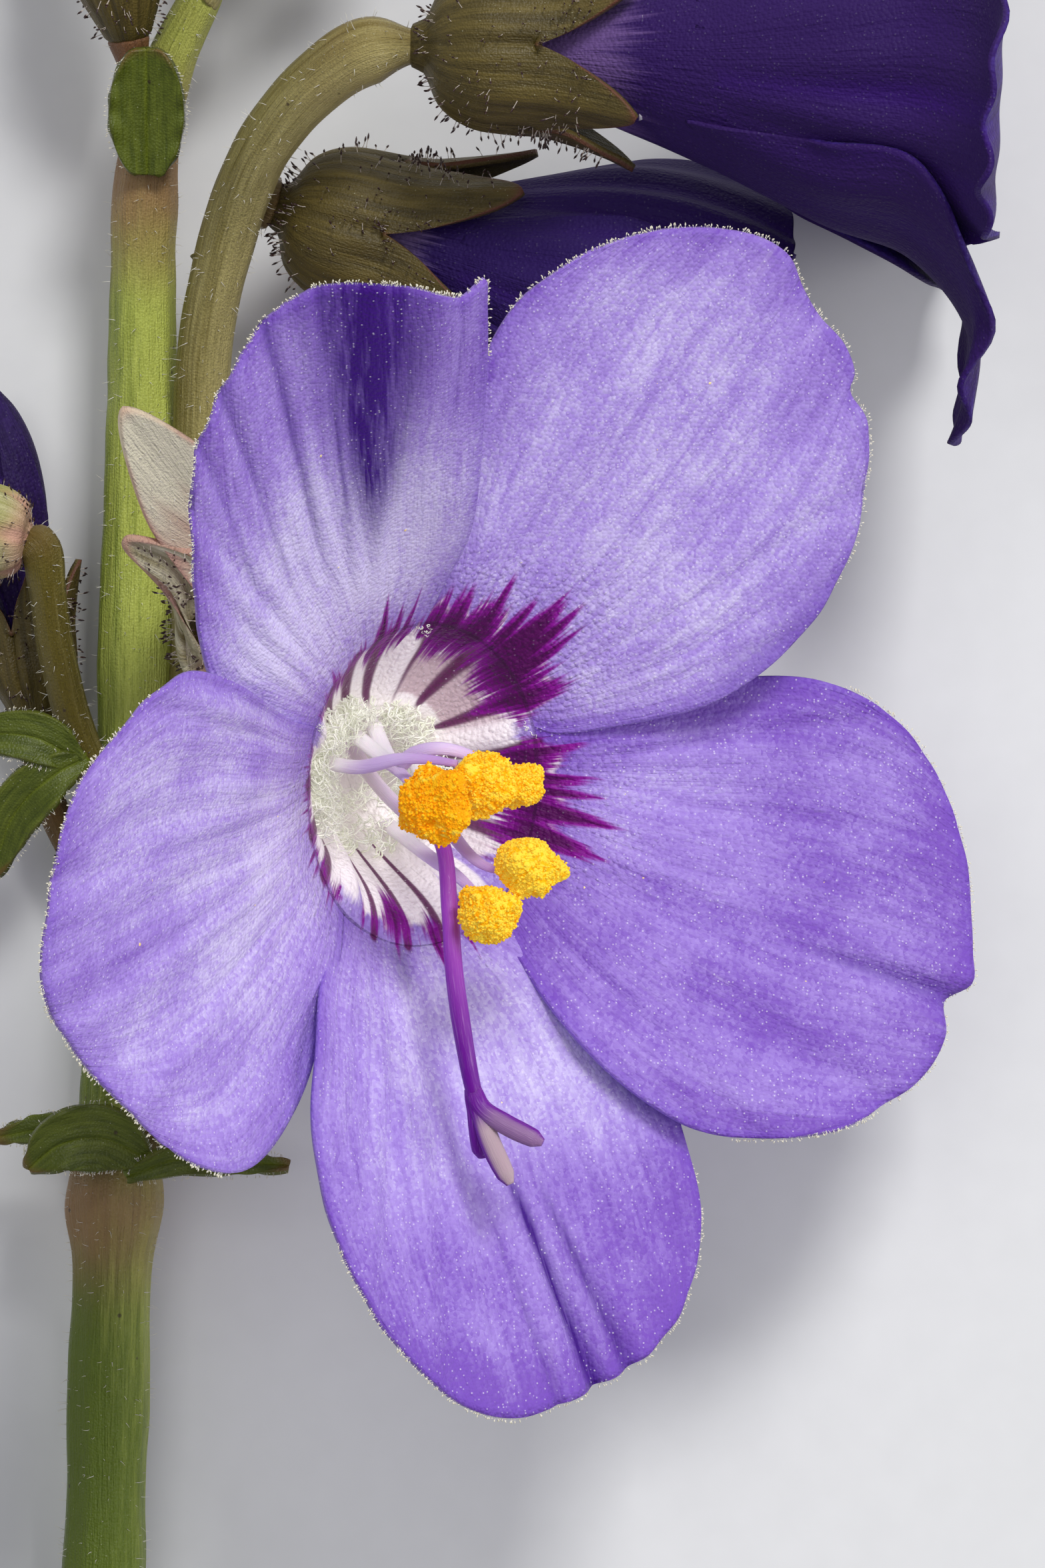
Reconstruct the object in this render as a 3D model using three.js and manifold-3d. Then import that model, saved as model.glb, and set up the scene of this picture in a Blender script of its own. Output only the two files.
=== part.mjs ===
// Cut flowering stem of Jacob's ladder, lying down: one open flower, one bell flower, one half-open
// flower, buds and bracts on a branching stem. Millimetres, +Z up, the stem's head towards +Y.
import * as THREE from 'three';
import Module from 'manifold-3d';

const wasm = await Module();
wasm.setup();

// Driving dimensions: the whole spray
const ORIGIN = [2.38, 16.16, 0];
const BLADE = 0.6;
const SEAT_GAP = 0.3;
const SEAM_TOLERANCE = 0.02;
const FILAMENT_RADIUS = 0.3;

// Main flower: its limb faces up and leans to +X; the ring is the mouth of its throat
const LIMB_CENTRE = [-2.53, 0, 11.8];
const LIMB_TILT = 33;
const LIMB_TURN = -15;
const RING_RADIUS = 3.75;
const RING_OVAL = 0.35;
const OVAL_DEPTH = 3;

// Rise of the limb out of the ring, and the relief that all its lobes share
const FUNNEL_SLOPE = 1.25;
const RING_RISE = 0.8;
const RING_FADE = 1.6;
const LIMB_FLARE = 4;
const LOBE_SIDE = 7;
const FOLD_START = 0.3;
const FOLD_REACH = 5;
const PLEAT_HEIGHT = 0.1;
const PLEAT_RATE = 2.4;

// Shares of a lobe's length at which its half widths are given, the degrees by which its base
// passes under its neighbours', and the share of its outline that each side margin takes
const STATIONS = [0.25, 0.5, 0.75, 0.93];
const BASE_OVERLAP = 2.5;
const SIDE_SHARE = 0.35;

// Each lobe: the heading it points in and the headings its base runs between, the rise of its
// blade, its reach, the side step of its tip, its twist, cup and fold, and its half widths
const MAIN_LOBES = [
  { turn: 117, from: 151, to: 89, rise: 26, reach: 11.1, tip: 0.2, twist: 1.0, cup: 0.4, fold: 2.2,
    left: [4.9, 4.8, 4.1, 2.4], right: [3.5, 4.2, 4.5, 2.8] },
  { turn: 54, from: 89, to: 20, rise: 18, reach: 11.7, tip: -1.2, twist: 0.9, cup: 0, fold: 0,
    left: [4.6, 6.1, 5.5, 3.7], right: [5.2, 5.4, 3.9, 1.6] },
  { turn: -18, from: 20, to: -60, rise: 16, reach: 11.2, tip: 0.6, twist: 0.9, cup: 0.1, fold: 0,
    left: [4.4, 5.1, 4.3, 2.0], right: [5.9, 6.5, 5.7, 3.7] },
  { turn: -84, from: -60, to: -127, rise: 20, reach: 11.4, tip: 0.3, twist: 0.9, cup: 0.2, fold: 0,
    left: [4.6, 5.2, 4.7, 2.7], right: [5.6, 6.0, 4.9, 3.1] },
  { turn: 196, from: 233, to: 151, rise: 27, reach: 10.7, tip: 1.1, twist: 0.8, cup: 0.1, fold: 0,
    left: [5.4, 6.0, 4.1, 0.9], right: [5.7, 6.4, 5.7, 3.8] },
];

// Throat and tube: [distance down the centre line, radius] of the wall, and the line's bend
const TUBE_RADIUS = 1.25;
const FUNNEL_DEPTH = 2.6;
const TUBE_BEND = [[-5.0, 2.2, 8.2], [-5.9, 3.9, 6.8], [-6.3, 4.65, 5.6], [-6.65, 5.2, 4.6]];
const MAIN_WALL = [[0.05, 3.7], [0.8, 3.1], [1.8, 2.45], [3.2, 1.75], [4.6, TUBE_RADIUS],
  [7.5, TUBE_RADIUS], [9.6, TUBE_RADIUS - 0.1], [10.0, 1.0]];

// Anthers: centre, half axes and heading. Filaments: the heading of the root and the way up
const MAIN_ANTHERS = [
  { at: [-2.17, -0.57, 16.4], half: [0.84, 0.92, 0.66], heading: 10 },
  { at: [-1.05, 0.02, 15.15], half: [0.72, 0.8, 0.55], heading: 0 },
  { at: [0.12, -0.03, 14.5], half: [0.42, 0.55, 0.48], heading: 0 },
  { at: [0.16, -2.02, 15.4], half: [0.82, 0.66, 0.6], heading: -10 },
  { at: [-0.82, -3.3, 15.5], half: [0.72, 0.72, 0.6], heading: 20 },
];
const MAIN_FILAMENTS = [
  { root: 120, route: [[-3.35, 0.55, 12.4], [-2.75, 0.0, 14.4], [-2.45, -0.4, 15.1]] },
  { root: 165, route: [[-4.05, 0.42, 13.2], [-3.0, 0.62, 14.3], [-2.25, 0.6, 14.8]] },
  { root: 80, route: [[-3.1, 0.45, 12.9], [-2.7, 0.75, 13.6], [-2.1, 0.88, 13.95], [-1.4, 0.75, 13.9],
    [-0.45, 0.2, 13.7]] },
  { root: 10, route: [[-1.85, -1.1, 12.6], [-1.2, -1.85, 13.8], [-0.7, -2.1, 14.6]] },
  { root: -60, route: [[-2.2, -1.9, 12.6], [-1.6, -2.3, 13.5], [-1.1, -2.8, 14.5]] },
];
const FILAMENT_ROOT = { radius: 1.7, depth: 3.4 };

// Pistil of the main flower: ovary in the foot of the tube, style, and three stigma lobes
const MAIN_OVARY = [[-6.38, 4.76, 5.4], [-6.1, 4.25, 6.2]];
const MAIN_STYLE = [[-6.1, 4.25, 6.2], [-5.0, 2.2, 8.1], [-3.9, 0.3, 9.8], [-2.9, -0.75, 12.1],
  [-2.0, -1.45, 14.0], [-1.79, -3.12, 14.8], [-1.66, -4.81, 15.0], [-1.28, -7.21, 14.8],
  [-1.12, -7.89, 14.7]];
const MAIN_STIGMAS = [
  [[-1.1, -8.6, 14.6], [-1.02, -9.2, 14.35]],
  [[-0.8, -8.9, 14.8], [-0.3, -9.85, 14.9]],
  [[-0.5, -8.35, 14.9], [0.46, -8.81, 15.2]],
];
const STYLE_RADIUS = 0.3;
const STIGMA_RADIUS = 0.27;

// Calyx of the main flower: its cup on the pedicel, and its sepals from the upper left one round.
// sway is the angle that a sepal turns sideways by, wide the share of its width that it keeps.
const MAIN_CALYX_BASE = [-7.0, 5.75, 3.7];
const MAIN_CALYX_TOWARDS = [-5.8, 3.67, 6.9];
const MAIN_CUP = { bore: 1.85, radius: 2.55, depth: 3.1 };
const MAIN_SEPAL_HEADING = 100;
const MAIN_SEPALS = [
  { length: 6.1, spread: 84, sway: 20, wide: 1.55 },
  { length: 3.3, spread: 82, sway: -31, wide: 0.6 },
  { length: 3.8, spread: 34, sway: 0, wide: 1 },
  { length: 3.6, spread: 32, sway: 0, wide: 1 },
  { length: 3.8, spread: 34, sway: 0, wide: 1 },
];

// Bell flower: it faces +X and its lowest petal rests on the ground
const BELL = {
  base: [-2.3, 18.7, 9.15],
  axis: [1, -0.03, 0],
  tube: [[0.9, 0.9], [1.25, 1.2], [1.3, 3.0], [2.1, 5.4], [3.1, 7.6]],
  petal: {
    profile: [[3.05, 7.3], [4.05, 9.9], [4.9, 12.3], [6.9, 13.9], [9.5, 13.6]],
    widths: [2.05, 3.9, 5.3, 5.6, 4.6],
    lift: 0.45,
    cup: -0.25,
  },
  cup: { bore: 1.85, radius: 2.4, depth: 2.7 },
  sepal: { length: 2.7, spread: 18, sway: 0, wide: 1 },
  pistil: 12.2,
};
const BELL_STAMENS = { rootRadius: 2.0, rootHeight: 5.2, radius: 1.7, height: 10.4 };
const BELL_ANTHER = { half: [0.85, 0.62, 0.62], beyond: 1.15 };

// Half-open flower between the two others, close to the ground
const HALF_OPEN = {
  base: [-6.0, 14.9, 4.3],
  axis: [1, -0.28, 0],
  tube: [[0.9, 0.9], [1.2, 1.2], [1.25, 2.6], [1.65, 4.0], [2.2, 5.5]],
  petal: {
    profile: [[2.15, 5.2], [2.95, 7.3], [3.4, 9.4], [3.4, 11.3], [3.2, 12.8]],
    widths: [1.5, 2.7, 3.3, 3.1, 2.2],
    lift: 0.5,
    cup: -0.1,
  },
  cup: { bore: 1.8, radius: 2.35, depth: 2.6 },
  sepal: { length: 3.4, spread: 21, sway: 0, wide: 1 },
  pistil: 10.5,
};
const EVEN_HEADING = 20;
const PISTIL_FOOT = 1.9;

// Stem from its cut end to its tip with its radii, its two swollen nodes, and its pedicels
const STEM = [[-12.2, -60, 1.16], [-11.8, -46, 1.3], [-11.3, -32, 1.55], [-11.0, -20.6, 1.9],
  [-10.7, -10.7, 2.3], [-10.2, -3, 2.55], [-10.1, 3.1, 2.6], [-9.96, 8.3, 2.7], [-9.93, 12.7, 3.0],
  [-9.75, 16.4, 3.5], [-9.2, 18.7, 3.8], [-8.2, 20.8, 4.1], [-7.4, 23.2, 4.3]];
const STEM_RADII = [1.14, 1.12, 1.1, 1.1, 1.1, 1.08, 1.06, 1.05, 1.08, 1.04, 0.95, 0.72, 0.45];
const NODE_SPREAD = 0.014;
const STEM_NODES = [{ share: 0.585, swell: 0.22 }, { share: 0.9, swell: 0.1 }];
const MAIN_PEDICEL = [[-10.5, -10.2, 2.4], [-9.2, -8.2, 2.5], [-8.3, -4, 2.2], [-7.6, 0.5, 2.0],
  [-7.5, 4.6, 1.2], [-7.5, 6.5, 1.5], [-7.3, 6.5, 2.6], [-7.11, 5.95, 3.42]];
const BELL_PEDICEL = [[-10.2, -4.2, 2.4], [-9.5, -2.0, 2.7], [-8.75, 0.8, 3.0], [-8.5, 3.6, 3.1],
  [-8.5, 6.0, 3.2], [-8.4, 9.1, 3.6], [-8.2, 11.7, 4.2],
  [-7.5, 14.5, 5.4], [-6.6, 16.4, 6.9], [-5.3, 17.8, 8.2], [-3.9, 18.6, 9.05], [-2.66, 18.71, 9.15]];
const HALF_PEDICEL = [[-7.9, 13.4, 4.8], [-7.2, 15.2, 4.5], [-6.38, 15.02, 4.32]];
const LEFT_PEDICEL = [[-10.4, -1.0, 2.6], [-11.4, 0.8, 3.4], [-12.1, 3.4, 4.1], [-12.35, 5.2, 4.4],
  [-12.5, 6.1, 4.5], [-12.95, 6.5, 4.5]];
const SIDE_PEDICEL = [[-10.5, -4.2, 2.0], [-11.6, -2.2, 1.5], [-12.5, -0.2, 1.765], [-12.75, 1.7, 1.765]];
const TOP_LEFT_PEDICEL = [[-9.8, 15.9, 3.4], [-10.0, 17.9, 3.9], [-10.25, 19.5, 4.3]];
const TOP_SIDE_PEDICEL = [[-8.3, 20.6, 4.1], [-6.6, 21.7, 4.6], [-5.3, 23.1, 5.2]];
const PEDICELS = [
  { route: MAIN_PEDICEL, thin: 0.62, thick: 0.8, segments: 12 },
  { route: BELL_PEDICEL, thin: 0.72, thick: 0.85, segments: 20 },
  { route: HALF_PEDICEL, thin: 0.5, thick: 0.75, segments: 6 },
  { route: LEFT_PEDICEL, thin: 0.48, thick: 0.55, segments: 12 },
  { route: SIDE_PEDICEL, thin: 0.42, thick: 0.6, segments: 7 },
  { route: TOP_LEFT_PEDICEL, thin: 0.4, thick: 0.55, segments: 5 },
  { route: TOP_SIDE_PEDICEL, thin: 0.36, thick: 0.45, segments: 6 },
];
const ROOT_SWELL = 0.25;

// Closed buds, with the lean of each one's axis off the end of its pedicel, and rolled buds
const CLOSED_BUDS = [
  { name: 'bud_left', route: LEFT_PEDICEL, lean: [-0.5, -0.45, -0.1], radius: 1.2, length: 3.8 },
  { name: 'bud_top_end', route: STEM, lean: [0, 0, 0], radius: 1.35, length: 4.2 },
  { name: 'bud_top_side', route: TOP_SIDE_PEDICEL, lean: [0, 0, 0], radius: 1.15, length: 3.4 },
];
const ROLLED_BUDS = [
  { name: 'side_bud', route: SIDE_PEDICEL, radius: 1.02, length: 8.4,
    cup: { bore: 0.85, radius: 1.42, depth: 2.0 },
    sepal: { length: 1.8, spread: 13, sway: 0, wide: 1 } },
  { name: 'top_bud', route: TOP_LEFT_PEDICEL, radius: 1.02, length: 8.2,
    cup: { bore: 0.92, radius: 1.48, depth: 2.6 },
    sepal: { length: 2.2, spread: 13, sway: 0, wide: 1 } },
];
const ROLLED_FOOT = 0.9;

// Bracts at the nodes, a leaflet or two each: midrib, width, place of the widest part, and fold
const BRACTS = {
  bract_lower: [
    { route: [[-9.7, -9.8, 4.0], [-10.9, -9.2, 4.3], [-12.0, -9.35, 4.4], [-12.85, -10.0, 4.1]],
      width: 1.75, belly: 0.45, fold: 0.25 },
    { route: [[-10.0, -9.9, 3.8], [-11.9, -9.0, 3.6], [-13.75, -9.2, 3.2]],
      width: 0.85, belly: 0.5, fold: 0.1 },
    { route: [[-10.3, -10.2, 4.05], [-8.9, -9.75, 4.3], [-7.6, -9.8, 4.1], [-6.1, -9.95, 3.5]],
      width: 0.8, belly: 0.35, fold: 0.25 },
  ],
  bract_left: [
    { route: [[-11.4, 0.5, 4.55], [-12.6, 1.2, 4.9], [-14.6, 1.3, 4.55]],
      width: 1.3, belly: 0.4, fold: 0.2 },
    { route: [[-11.3, 0.7, 4.55], [-12.2, 0.2, 4.8], [-13.2, -0.8, 4.35], [-13.8, -2.4, 3.65]],
      width: 1.4, belly: 0.45, fold: 0.2 },
  ],
  bract_top: [
    { route: [[-9.72, 15.8, 4.6], [-9.72, 17.2, 5.05], [-9.7, 18.3, 5.5], [-9.7, 18.95, 5.8]],
      width: 1.9, belly: 0.5, fold: 0.25 },
  ],
};
const LEAF_TIP = 0.15;

const DEGREE = Math.PI / 180;
const SIDEWAYS = new THREE.Vector3(1, 0, 0);
const UPWARDS = new THREE.Vector3(0, 0, 1);
const place = (at) => new THREE.Vector3(...at);
const smooth = (x) => {
  const t = Math.min(Math.max(x, 0), 1);
  return t * t * (3 - 2 * t);
};
const smoothCurve = (points) => new THREE.CatmullRomCurve3(points, false, 'centripetal');

// Frame with z along `axis` and x as close to `side` as it can be.
function axisFrame(axis, side, at) {
  const z = axis.clone().normalize();
  const x = side.clone().addScaledVector(z, -side.dot(z)).normalize();
  const y = z.clone().cross(x);
  return new THREE.Matrix4().makeBasis(x, y, z).setPosition(at);
}

// Point at a radius, heading and height in a frame.
function around(frame, radius, angle, height) {
  return new THREE.Vector3(radius * Math.cos(angle), radius * Math.sin(angle), height)
    .applyMatrix4(frame);
}

function solid(points, faces) {
  return new wasm.Manifold(new wasm.Mesh({
    numProp: 3,
    vertProperties: new Float32Array(points.flatMap((p) => [p.x, p.y, p.z])),
    triVerts: new Uint32Array(faces),
  }));
}

// Solid between a row of rings of equal count, closed by a fan at each end.
function skin(rings) {
  const count = rings[0].length;
  const points = rings.flat();
  const faces = [];
  for (let ring = 0; ring < rings.length - 1; ring++) {
    for (let k = 0; k < count; k++) {
      const a = ring * count + k;
      const b = ring * count + ((k + 1) % count);
      faces.push(a, b, b + count, a, b + count, a + count);
    }
  }
  const middle = (ring) => ring
    .reduce((sum, p) => sum.add(p), new THREE.Vector3())
    .divideScalar(count);
  const first = points.push(middle(rings[0])) - 1;
  const last = points.push(middle(rings[rings.length - 1])) - 1;
  const lastRing = (rings.length - 1) * count;
  for (let k = 0; k < count; k++) {
    const next = (k + 1) % count;
    faces.push(first, next, k);
    faces.push(last, lastRing + k, lastRing + next);
  }
  return solid(points, faces);
}

// One body out of several, with the slivers along their seams taken out.
function join(solids) {
  return solids.reduce((whole, piece) => whole.add(piece)).simplify(SEAM_TOLERANCE);
}

function circle(sides, pointAt) {
  return Array.from({ length: sides }, (_, k) => pointAt((k / sides) * 2 * Math.PI));
}

// Round bar along a smooth curve, its radius given for each share of the length.
function bar(route, radiusAt, segments, sides) {
  const curve = smoothCurve(route.map(place));
  const frames = curve.computeFrenetFrames(segments, false);
  const rings = [];
  for (let step = 0; step <= segments; step++) {
    const share = step / segments;
    const centre = curve.getPointAt(share);
    rings.push(circle(sides, (angle) => centre.clone()
      .addScaledVector(frames.normals[step], Math.cos(angle) * radiusAt(share))
      .addScaledVector(frames.binormals[step], Math.sin(angle) * radiusAt(share))));
  }
  return skin(rings);
}

// Body of revolution in a frame, from a profile of [radius, height] pairs; `ridge` adds relief.
function turned(frame, profile, sides, ridge = () => 0) {
  return skin(profile.map(([radius, height]) => circle(
    sides,
    (angle) => around(frame, radius * (1 + ridge(angle, height)), angle, height),
  )));
}

// Closed blade of even thickness on both sides of a surface. `surface(u, v)` gives a point and
// its normal, u from -1 to 1 across and v from 0 to 1 along.
function blade(surface, columns, rows) {
  const front = [];
  const back = [];
  for (let j = 0; j <= rows; j++) {
    for (let i = 0; i <= columns; i++) {
      const { point, normal } = surface((2 * i) / columns - 1, j / rows);
      front.push(point.clone().addScaledVector(normal, BLADE / 2));
      back.push(point.clone().addScaledVector(normal, -BLADE / 2));
    }
  }
  const width = columns + 1;
  const under = front.length;
  const faces = [];
  const both = (a, b, c) => faces.push(a, b, c, under + c, under + b, under + a);
  for (let j = 0; j < rows; j++) {
    for (let i = 0; i < columns; i++) {
      const a = j * width + i;
      const b = a + 1;
      const c = b + width;
      const d = a + width;
      if (i < columns / 2) {
        both(a, b, d);
        both(b, c, d);
      } else {
        both(a, b, c);
        both(a, c, d);
      }
    }
  }
  const rim = [];
  for (let i = 0; i < columns; i++) rim.push(i);
  for (let j = 0; j < rows; j++) rim.push(j * width + columns);
  for (let i = columns; i > 0; i--) rim.push(rows * width + i);
  for (let j = rows; j > 0; j--) rim.push(j * width);
  rim.forEach((p, k) => {
    const q = rim[(k + 1) % rim.length];
    faces.push(p, under + p, under + q, p, under + q, q);
  });
  return solid([...front, ...back], faces);
}

// Radius of the throat's ring at a heading in the limb's plane.
const ringRadius = (angle) => RING_RADIUS - RING_OVAL * Math.cos(2 * angle);

// Point of the ring's middle line in a lobe's own plane, x clockwise and y outwards.
function ringPoint(lobe, heading) {
  const radius = ringRadius(heading * DEGREE) - BLADE / 2;
  const off = (lobe.turn - heading) * DEGREE;
  return new THREE.Vector3(radius * Math.sin(off), radius * Math.cos(off), 0);
}

// Outline of a lobe in its own plane: one smooth curve from the ring through the stations of one
// side, the tip and the other side back to the ring.
function lobeOutline(lobe) {
  const station = (half, k) => new THREE.Vector3(half, RING_RADIUS + STATIONS[k] * lobe.reach, 0);
  return smoothCurve([
    ringPoint(lobe, lobe.from + BASE_OVERLAP),
    ...lobe.left.map((half, k) => station(-half, k)),
    new THREE.Vector3(lobe.tip, RING_RADIUS + lobe.reach, 0),
    ...lobe.right.map(station).reverse(),
    ringPoint(lobe, lobe.to - BASE_OVERLAP),
  ]);
}

// Height of a lobe over the limb's plane: the funnel's flare out of the ring, an even rise, the
// propeller twist that lifts the clockwise margin, a cup, a fold and shallow pleats.
function lobeHeight(lobe, x, y) {
  const angle = lobe.turn * DEGREE - Math.atan2(x, y);
  const out = Math.hypot(x, y) - ringRadius(angle);
  if (out < 0) return out * FUNNEL_SLOPE;
  const side = x / LOBE_SIDE;
  const open = smooth(out / LIMB_FLARE);
  const flare = RING_RISE * (1 - Math.exp(-out / RING_FADE));
  const slope = out * Math.tan(lobe.rise * DEGREE);
  const twist = open * (lobe.twist * side + lobe.cup * side ** 2);
  const fold = lobe.fold * Math.max(side - FOLD_START, 0) * smooth(out / FOLD_REACH);
  const pleats = PLEAT_HEIGHT * open * (1 - out / lobe.reach) * Math.cos(x * PLEAT_RATE);
  return flare + slope + twist + fold + pleats;
}

// The lobe's blade in the limb's frame: a patch stretched between its two margins, its base on
// the ring and its tip, each point raised to the lobe's height.
function lobeBlade(lobe, frame, columns, rows) {
  const outline = lobeOutline(lobe);
  const start = lobe.from + BASE_OVERLAP;
  const span = lobe.to - BASE_OVERLAP - start;
  const base = (t) => ringPoint(lobe, start + span * t);
  const top = (t) => outline.getPoint(SIDE_SHARE + (1 - 2 * SIDE_SHARE) * t);
  const leftSide = (v) => outline.getPoint(SIDE_SHARE * v);
  const rightSide = (v) => outline.getPoint(1 - SIDE_SHARE * v);
  const flat = (u, v) => {
    const t = (u + 1) / 2;
    return base(t).multiplyScalar(1 - v)
      .addScaledVector(top(t), v)
      .addScaledVector(leftSide(v), 1 - t)
      .addScaledVector(rightSide(v), t)
      .addScaledVector(base(0), -(1 - t) * (1 - v))
      .addScaledVector(base(1), -t * (1 - v))
      .addScaledVector(top(0), -(1 - t) * v)
      .addScaledVector(top(1), -t * v);
  };
  const turn = new THREE.Matrix4().makeRotationZ((lobe.turn - 90) * DEGREE);
  const toSpray = frame.clone().multiply(turn);
  const step = 0.02;
  return blade((u, v) => {
    const { x, y } = flat(u, v);
    const height = lobeHeight(lobe, x, y);
    const slopeX = (lobeHeight(lobe, x + step, y) - height) / step;
    const slopeY = (lobeHeight(lobe, x, y + step) - height) / step;
    return {
      point: new THREE.Vector3(x, y, height).applyMatrix4(toSpray),
      normal: new THREE.Vector3(-slopeX, -slopeY, 1).normalize().transformDirection(toSpray),
    };
  }, columns, rows);
}

// Funnel and tube as one open cup along a centre line that starts at the limb's centre; the
// ring's oval fades out with depth.
function funnel(frame, line, wall, sides) {
  const side = new THREE.Vector3().setFromMatrixColumn(frame, 0);
  const length = line.getLength();
  const ringAt = ([depth, radius], offset) => {
    const share = Math.min(depth / length, 1);
    const here = axisFrame(line.getTangentAt(share).negate(), side, line.getPointAt(share));
    const oval = (1 - smooth(depth / OVAL_DEPTH)) * (RING_OVAL / RING_RADIUS);
    return circle(
      sides,
      (angle) => around(here, radius * (1 - oval * Math.cos(2 * angle)) + offset, angle, 0),
    );
  };
  const outside = wall.map((step) => ringAt(step, BLADE / 2)).reverse();
  const inside = wall.slice(0, -1).map((step) => ringAt(step, -BLADE / 2));
  return skin([...outside, ...inside]);
}

// Petal of a bell: a rounded blade wrapped round the flower's axis. `profile` holds [radius,
// height] points from the ring to the tip, `widths` its half widths at even shares of the length,
// `lift` the outward step of its clockwise margin and `cup` the outward curl of both margins.
function bellPetal(petal, heading, frame, columns, rows) {
  const profile = new THREE.SplineCurve(petal.profile.map(([r, z]) => new THREE.Vector2(r, z)));
  const widths = new THREE.SplineCurve(petal.widths.map((w, k) => new THREE.Vector2(k, w)));
  const at = (p, q) => {
    const line = profile.getPoint(q);
    const open = smooth(q / 0.4);
    const radius = line.x + open * (petal.lift * p + petal.cup * p * p);
    const angle = heading * DEGREE - (p * widths.getPoint(q).y) / line.x;
    return around(frame, radius, angle, line.y);
  };
  return blade((u, v) => {
    const p = u * Math.sqrt(1 - (v * v) / 2);
    const q = v * Math.sqrt(1 - (u * u) / 2);
    const step = q < 0.5 ? 0.01 : -0.01;
    const point = at(p, q);
    const across = at(p + 0.01, q).sub(point);
    const along = at(p, q + step).sub(point).multiplyScalar(Math.sign(step));
    return { point, normal: across.cross(along).normalize() };
  }, columns, rows);
}

// Leaflet along a midrib, its margins lifted by `fold`.
function leaflet({ route, width, belly, fold }) {
  const midrib = smoothCurve(route.map(place));
  const halfWidth = (v) => {
    const share = v < belly ? v / belly : (1 - v) / (1 - belly);
    return LEAF_TIP + (width / 2 - LEAF_TIP) * Math.sin(share * Math.PI / 2) ** 0.8;
  };
  return blade((u, v) => {
    const along = midrib.getTangent(v);
    const side = along.clone().cross(UPWARDS).normalize();
    const normal = side.clone().cross(along).normalize();
    const half = halfWidth(v);
    const point = midrib.getPoint(v)
      .addScaledVector(side, u * half)
      .addScaledVector(normal, fold * half * u * u);
    return { point, normal: normal.addScaledVector(side, -2 * fold * u).normalize() };
  }, 4, 5);
}

// Open calyx in one wall: a cup whose rim rises into five pointed sepals. z runs up from its
// foot; each sepal has its own length, lean, turn and width as it leans out.
function calyx(frame, cup, sepals, heading, fineness) {
  const { bore, radius, depth } = cup;
  const neck = 0.8;
  const sides = fineness * sepals.length;
  const at = (r, z, angle) => around(frame, r, angle + heading * DEGREE, z);
  const ringAt = (r, z) => circle(sides, (angle) => at(r, z, angle));
  const toothRing = (r, share) => circle(sides, (angle) => {
    const turn = (angle / (2 * Math.PI)) * sepals.length;
    const nearest = Math.round(turn);
    const tooth = share * Math.cos((turn - nearest) * Math.PI) ** 0.9;
    const { length, spread, sway, wide } = sepals[nearest % sepals.length];
    const reach = r + length * Math.sin(spread * DEGREE) * tooth ** 1.4;
    const middle = (nearest / sepals.length) * 2 * Math.PI;
    const width = (r / reach) * (1 + (wide - 1) * tooth);
    const swayed = sway * DEGREE * Math.sin(Math.min(1.5 * tooth, 1) * (Math.PI / 2));
    return at(
      reach,
      depth + length * Math.cos(spread * DEGREE) * tooth,
      middle + (angle - middle) * width + swayed,
    );
  });
  const inner = radius - BLADE;
  return skin([
    ringAt(neck, 0), ringAt(0.72 * radius, 0.12 * depth), ringAt(0.94 * radius, 0.42 * depth),
    ringAt(radius, depth), toothRing(radius, 0.5), toothRing(radius, 1),
    toothRing(inner, 1), toothRing(inner, 0.5), ringAt(inner, depth),
    ringAt(bore, 0.45 * depth), ringAt(0.8 * bore, 0.25 * depth),
  ]);
}

// Closed green bud: a pointed knob with a groove between each two of its five sepals.
function bud(frame, radius, length) {
  const profile = [[0.45, 0], [0.78, 0.1], [0.97, 0.3], [0.98, 0.5], [0.78, 0.72], [0.42, 0.9],
    [0.16, 1]];
  const groove = (angle) => -0.14 * Math.abs(Math.cos(2.5 * angle)) ** 6;
  return turned(frame, profile.map(([r, z]) => [r * radius, z * length]), 20, groove);
}

// Corolla still rolled up: a pointed spindle whose five petals show as spiral ridges.
function rolledCorolla(frame, radius, length) {
  const profile = [[0.5, 0], [0.6, 0.2], [0.9, 0.45], [1, 0.62], [0.85, 0.8], [0.5, 0.93],
    [0.2, 1]].map(([r, z]) => [r * radius, ROLLED_FOOT + z * (length - ROLLED_FOOT)]);
  return turned(frame, profile, 15, (angle, z) => 0.08 * Math.cos(5 * (angle + 0.22 * z)));
}

// Pollen sac: a bean a little longer than wide, with a shallow groove along it.
function anther({ at, half, heading }) {
  const turn = new THREE.Quaternion().setFromAxisAngle(UPWARDS, heading * DEGREE);
  const frame = new THREE.Matrix4().compose(place(at), turn, place(half))
    .multiply(new THREE.Matrix4().makeRotationX(-Math.PI / 2));
  const rows = 5;
  const profile = Array.from({ length: rows }, (_, k) => {
    const angle = ((k + 0.5) / rows) * Math.PI;
    return [Math.sin(angle), -Math.cos(angle)];
  });
  return turned(frame, profile, 8, (angle) => 0.08 * Math.cos(2 * angle));
}

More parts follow.
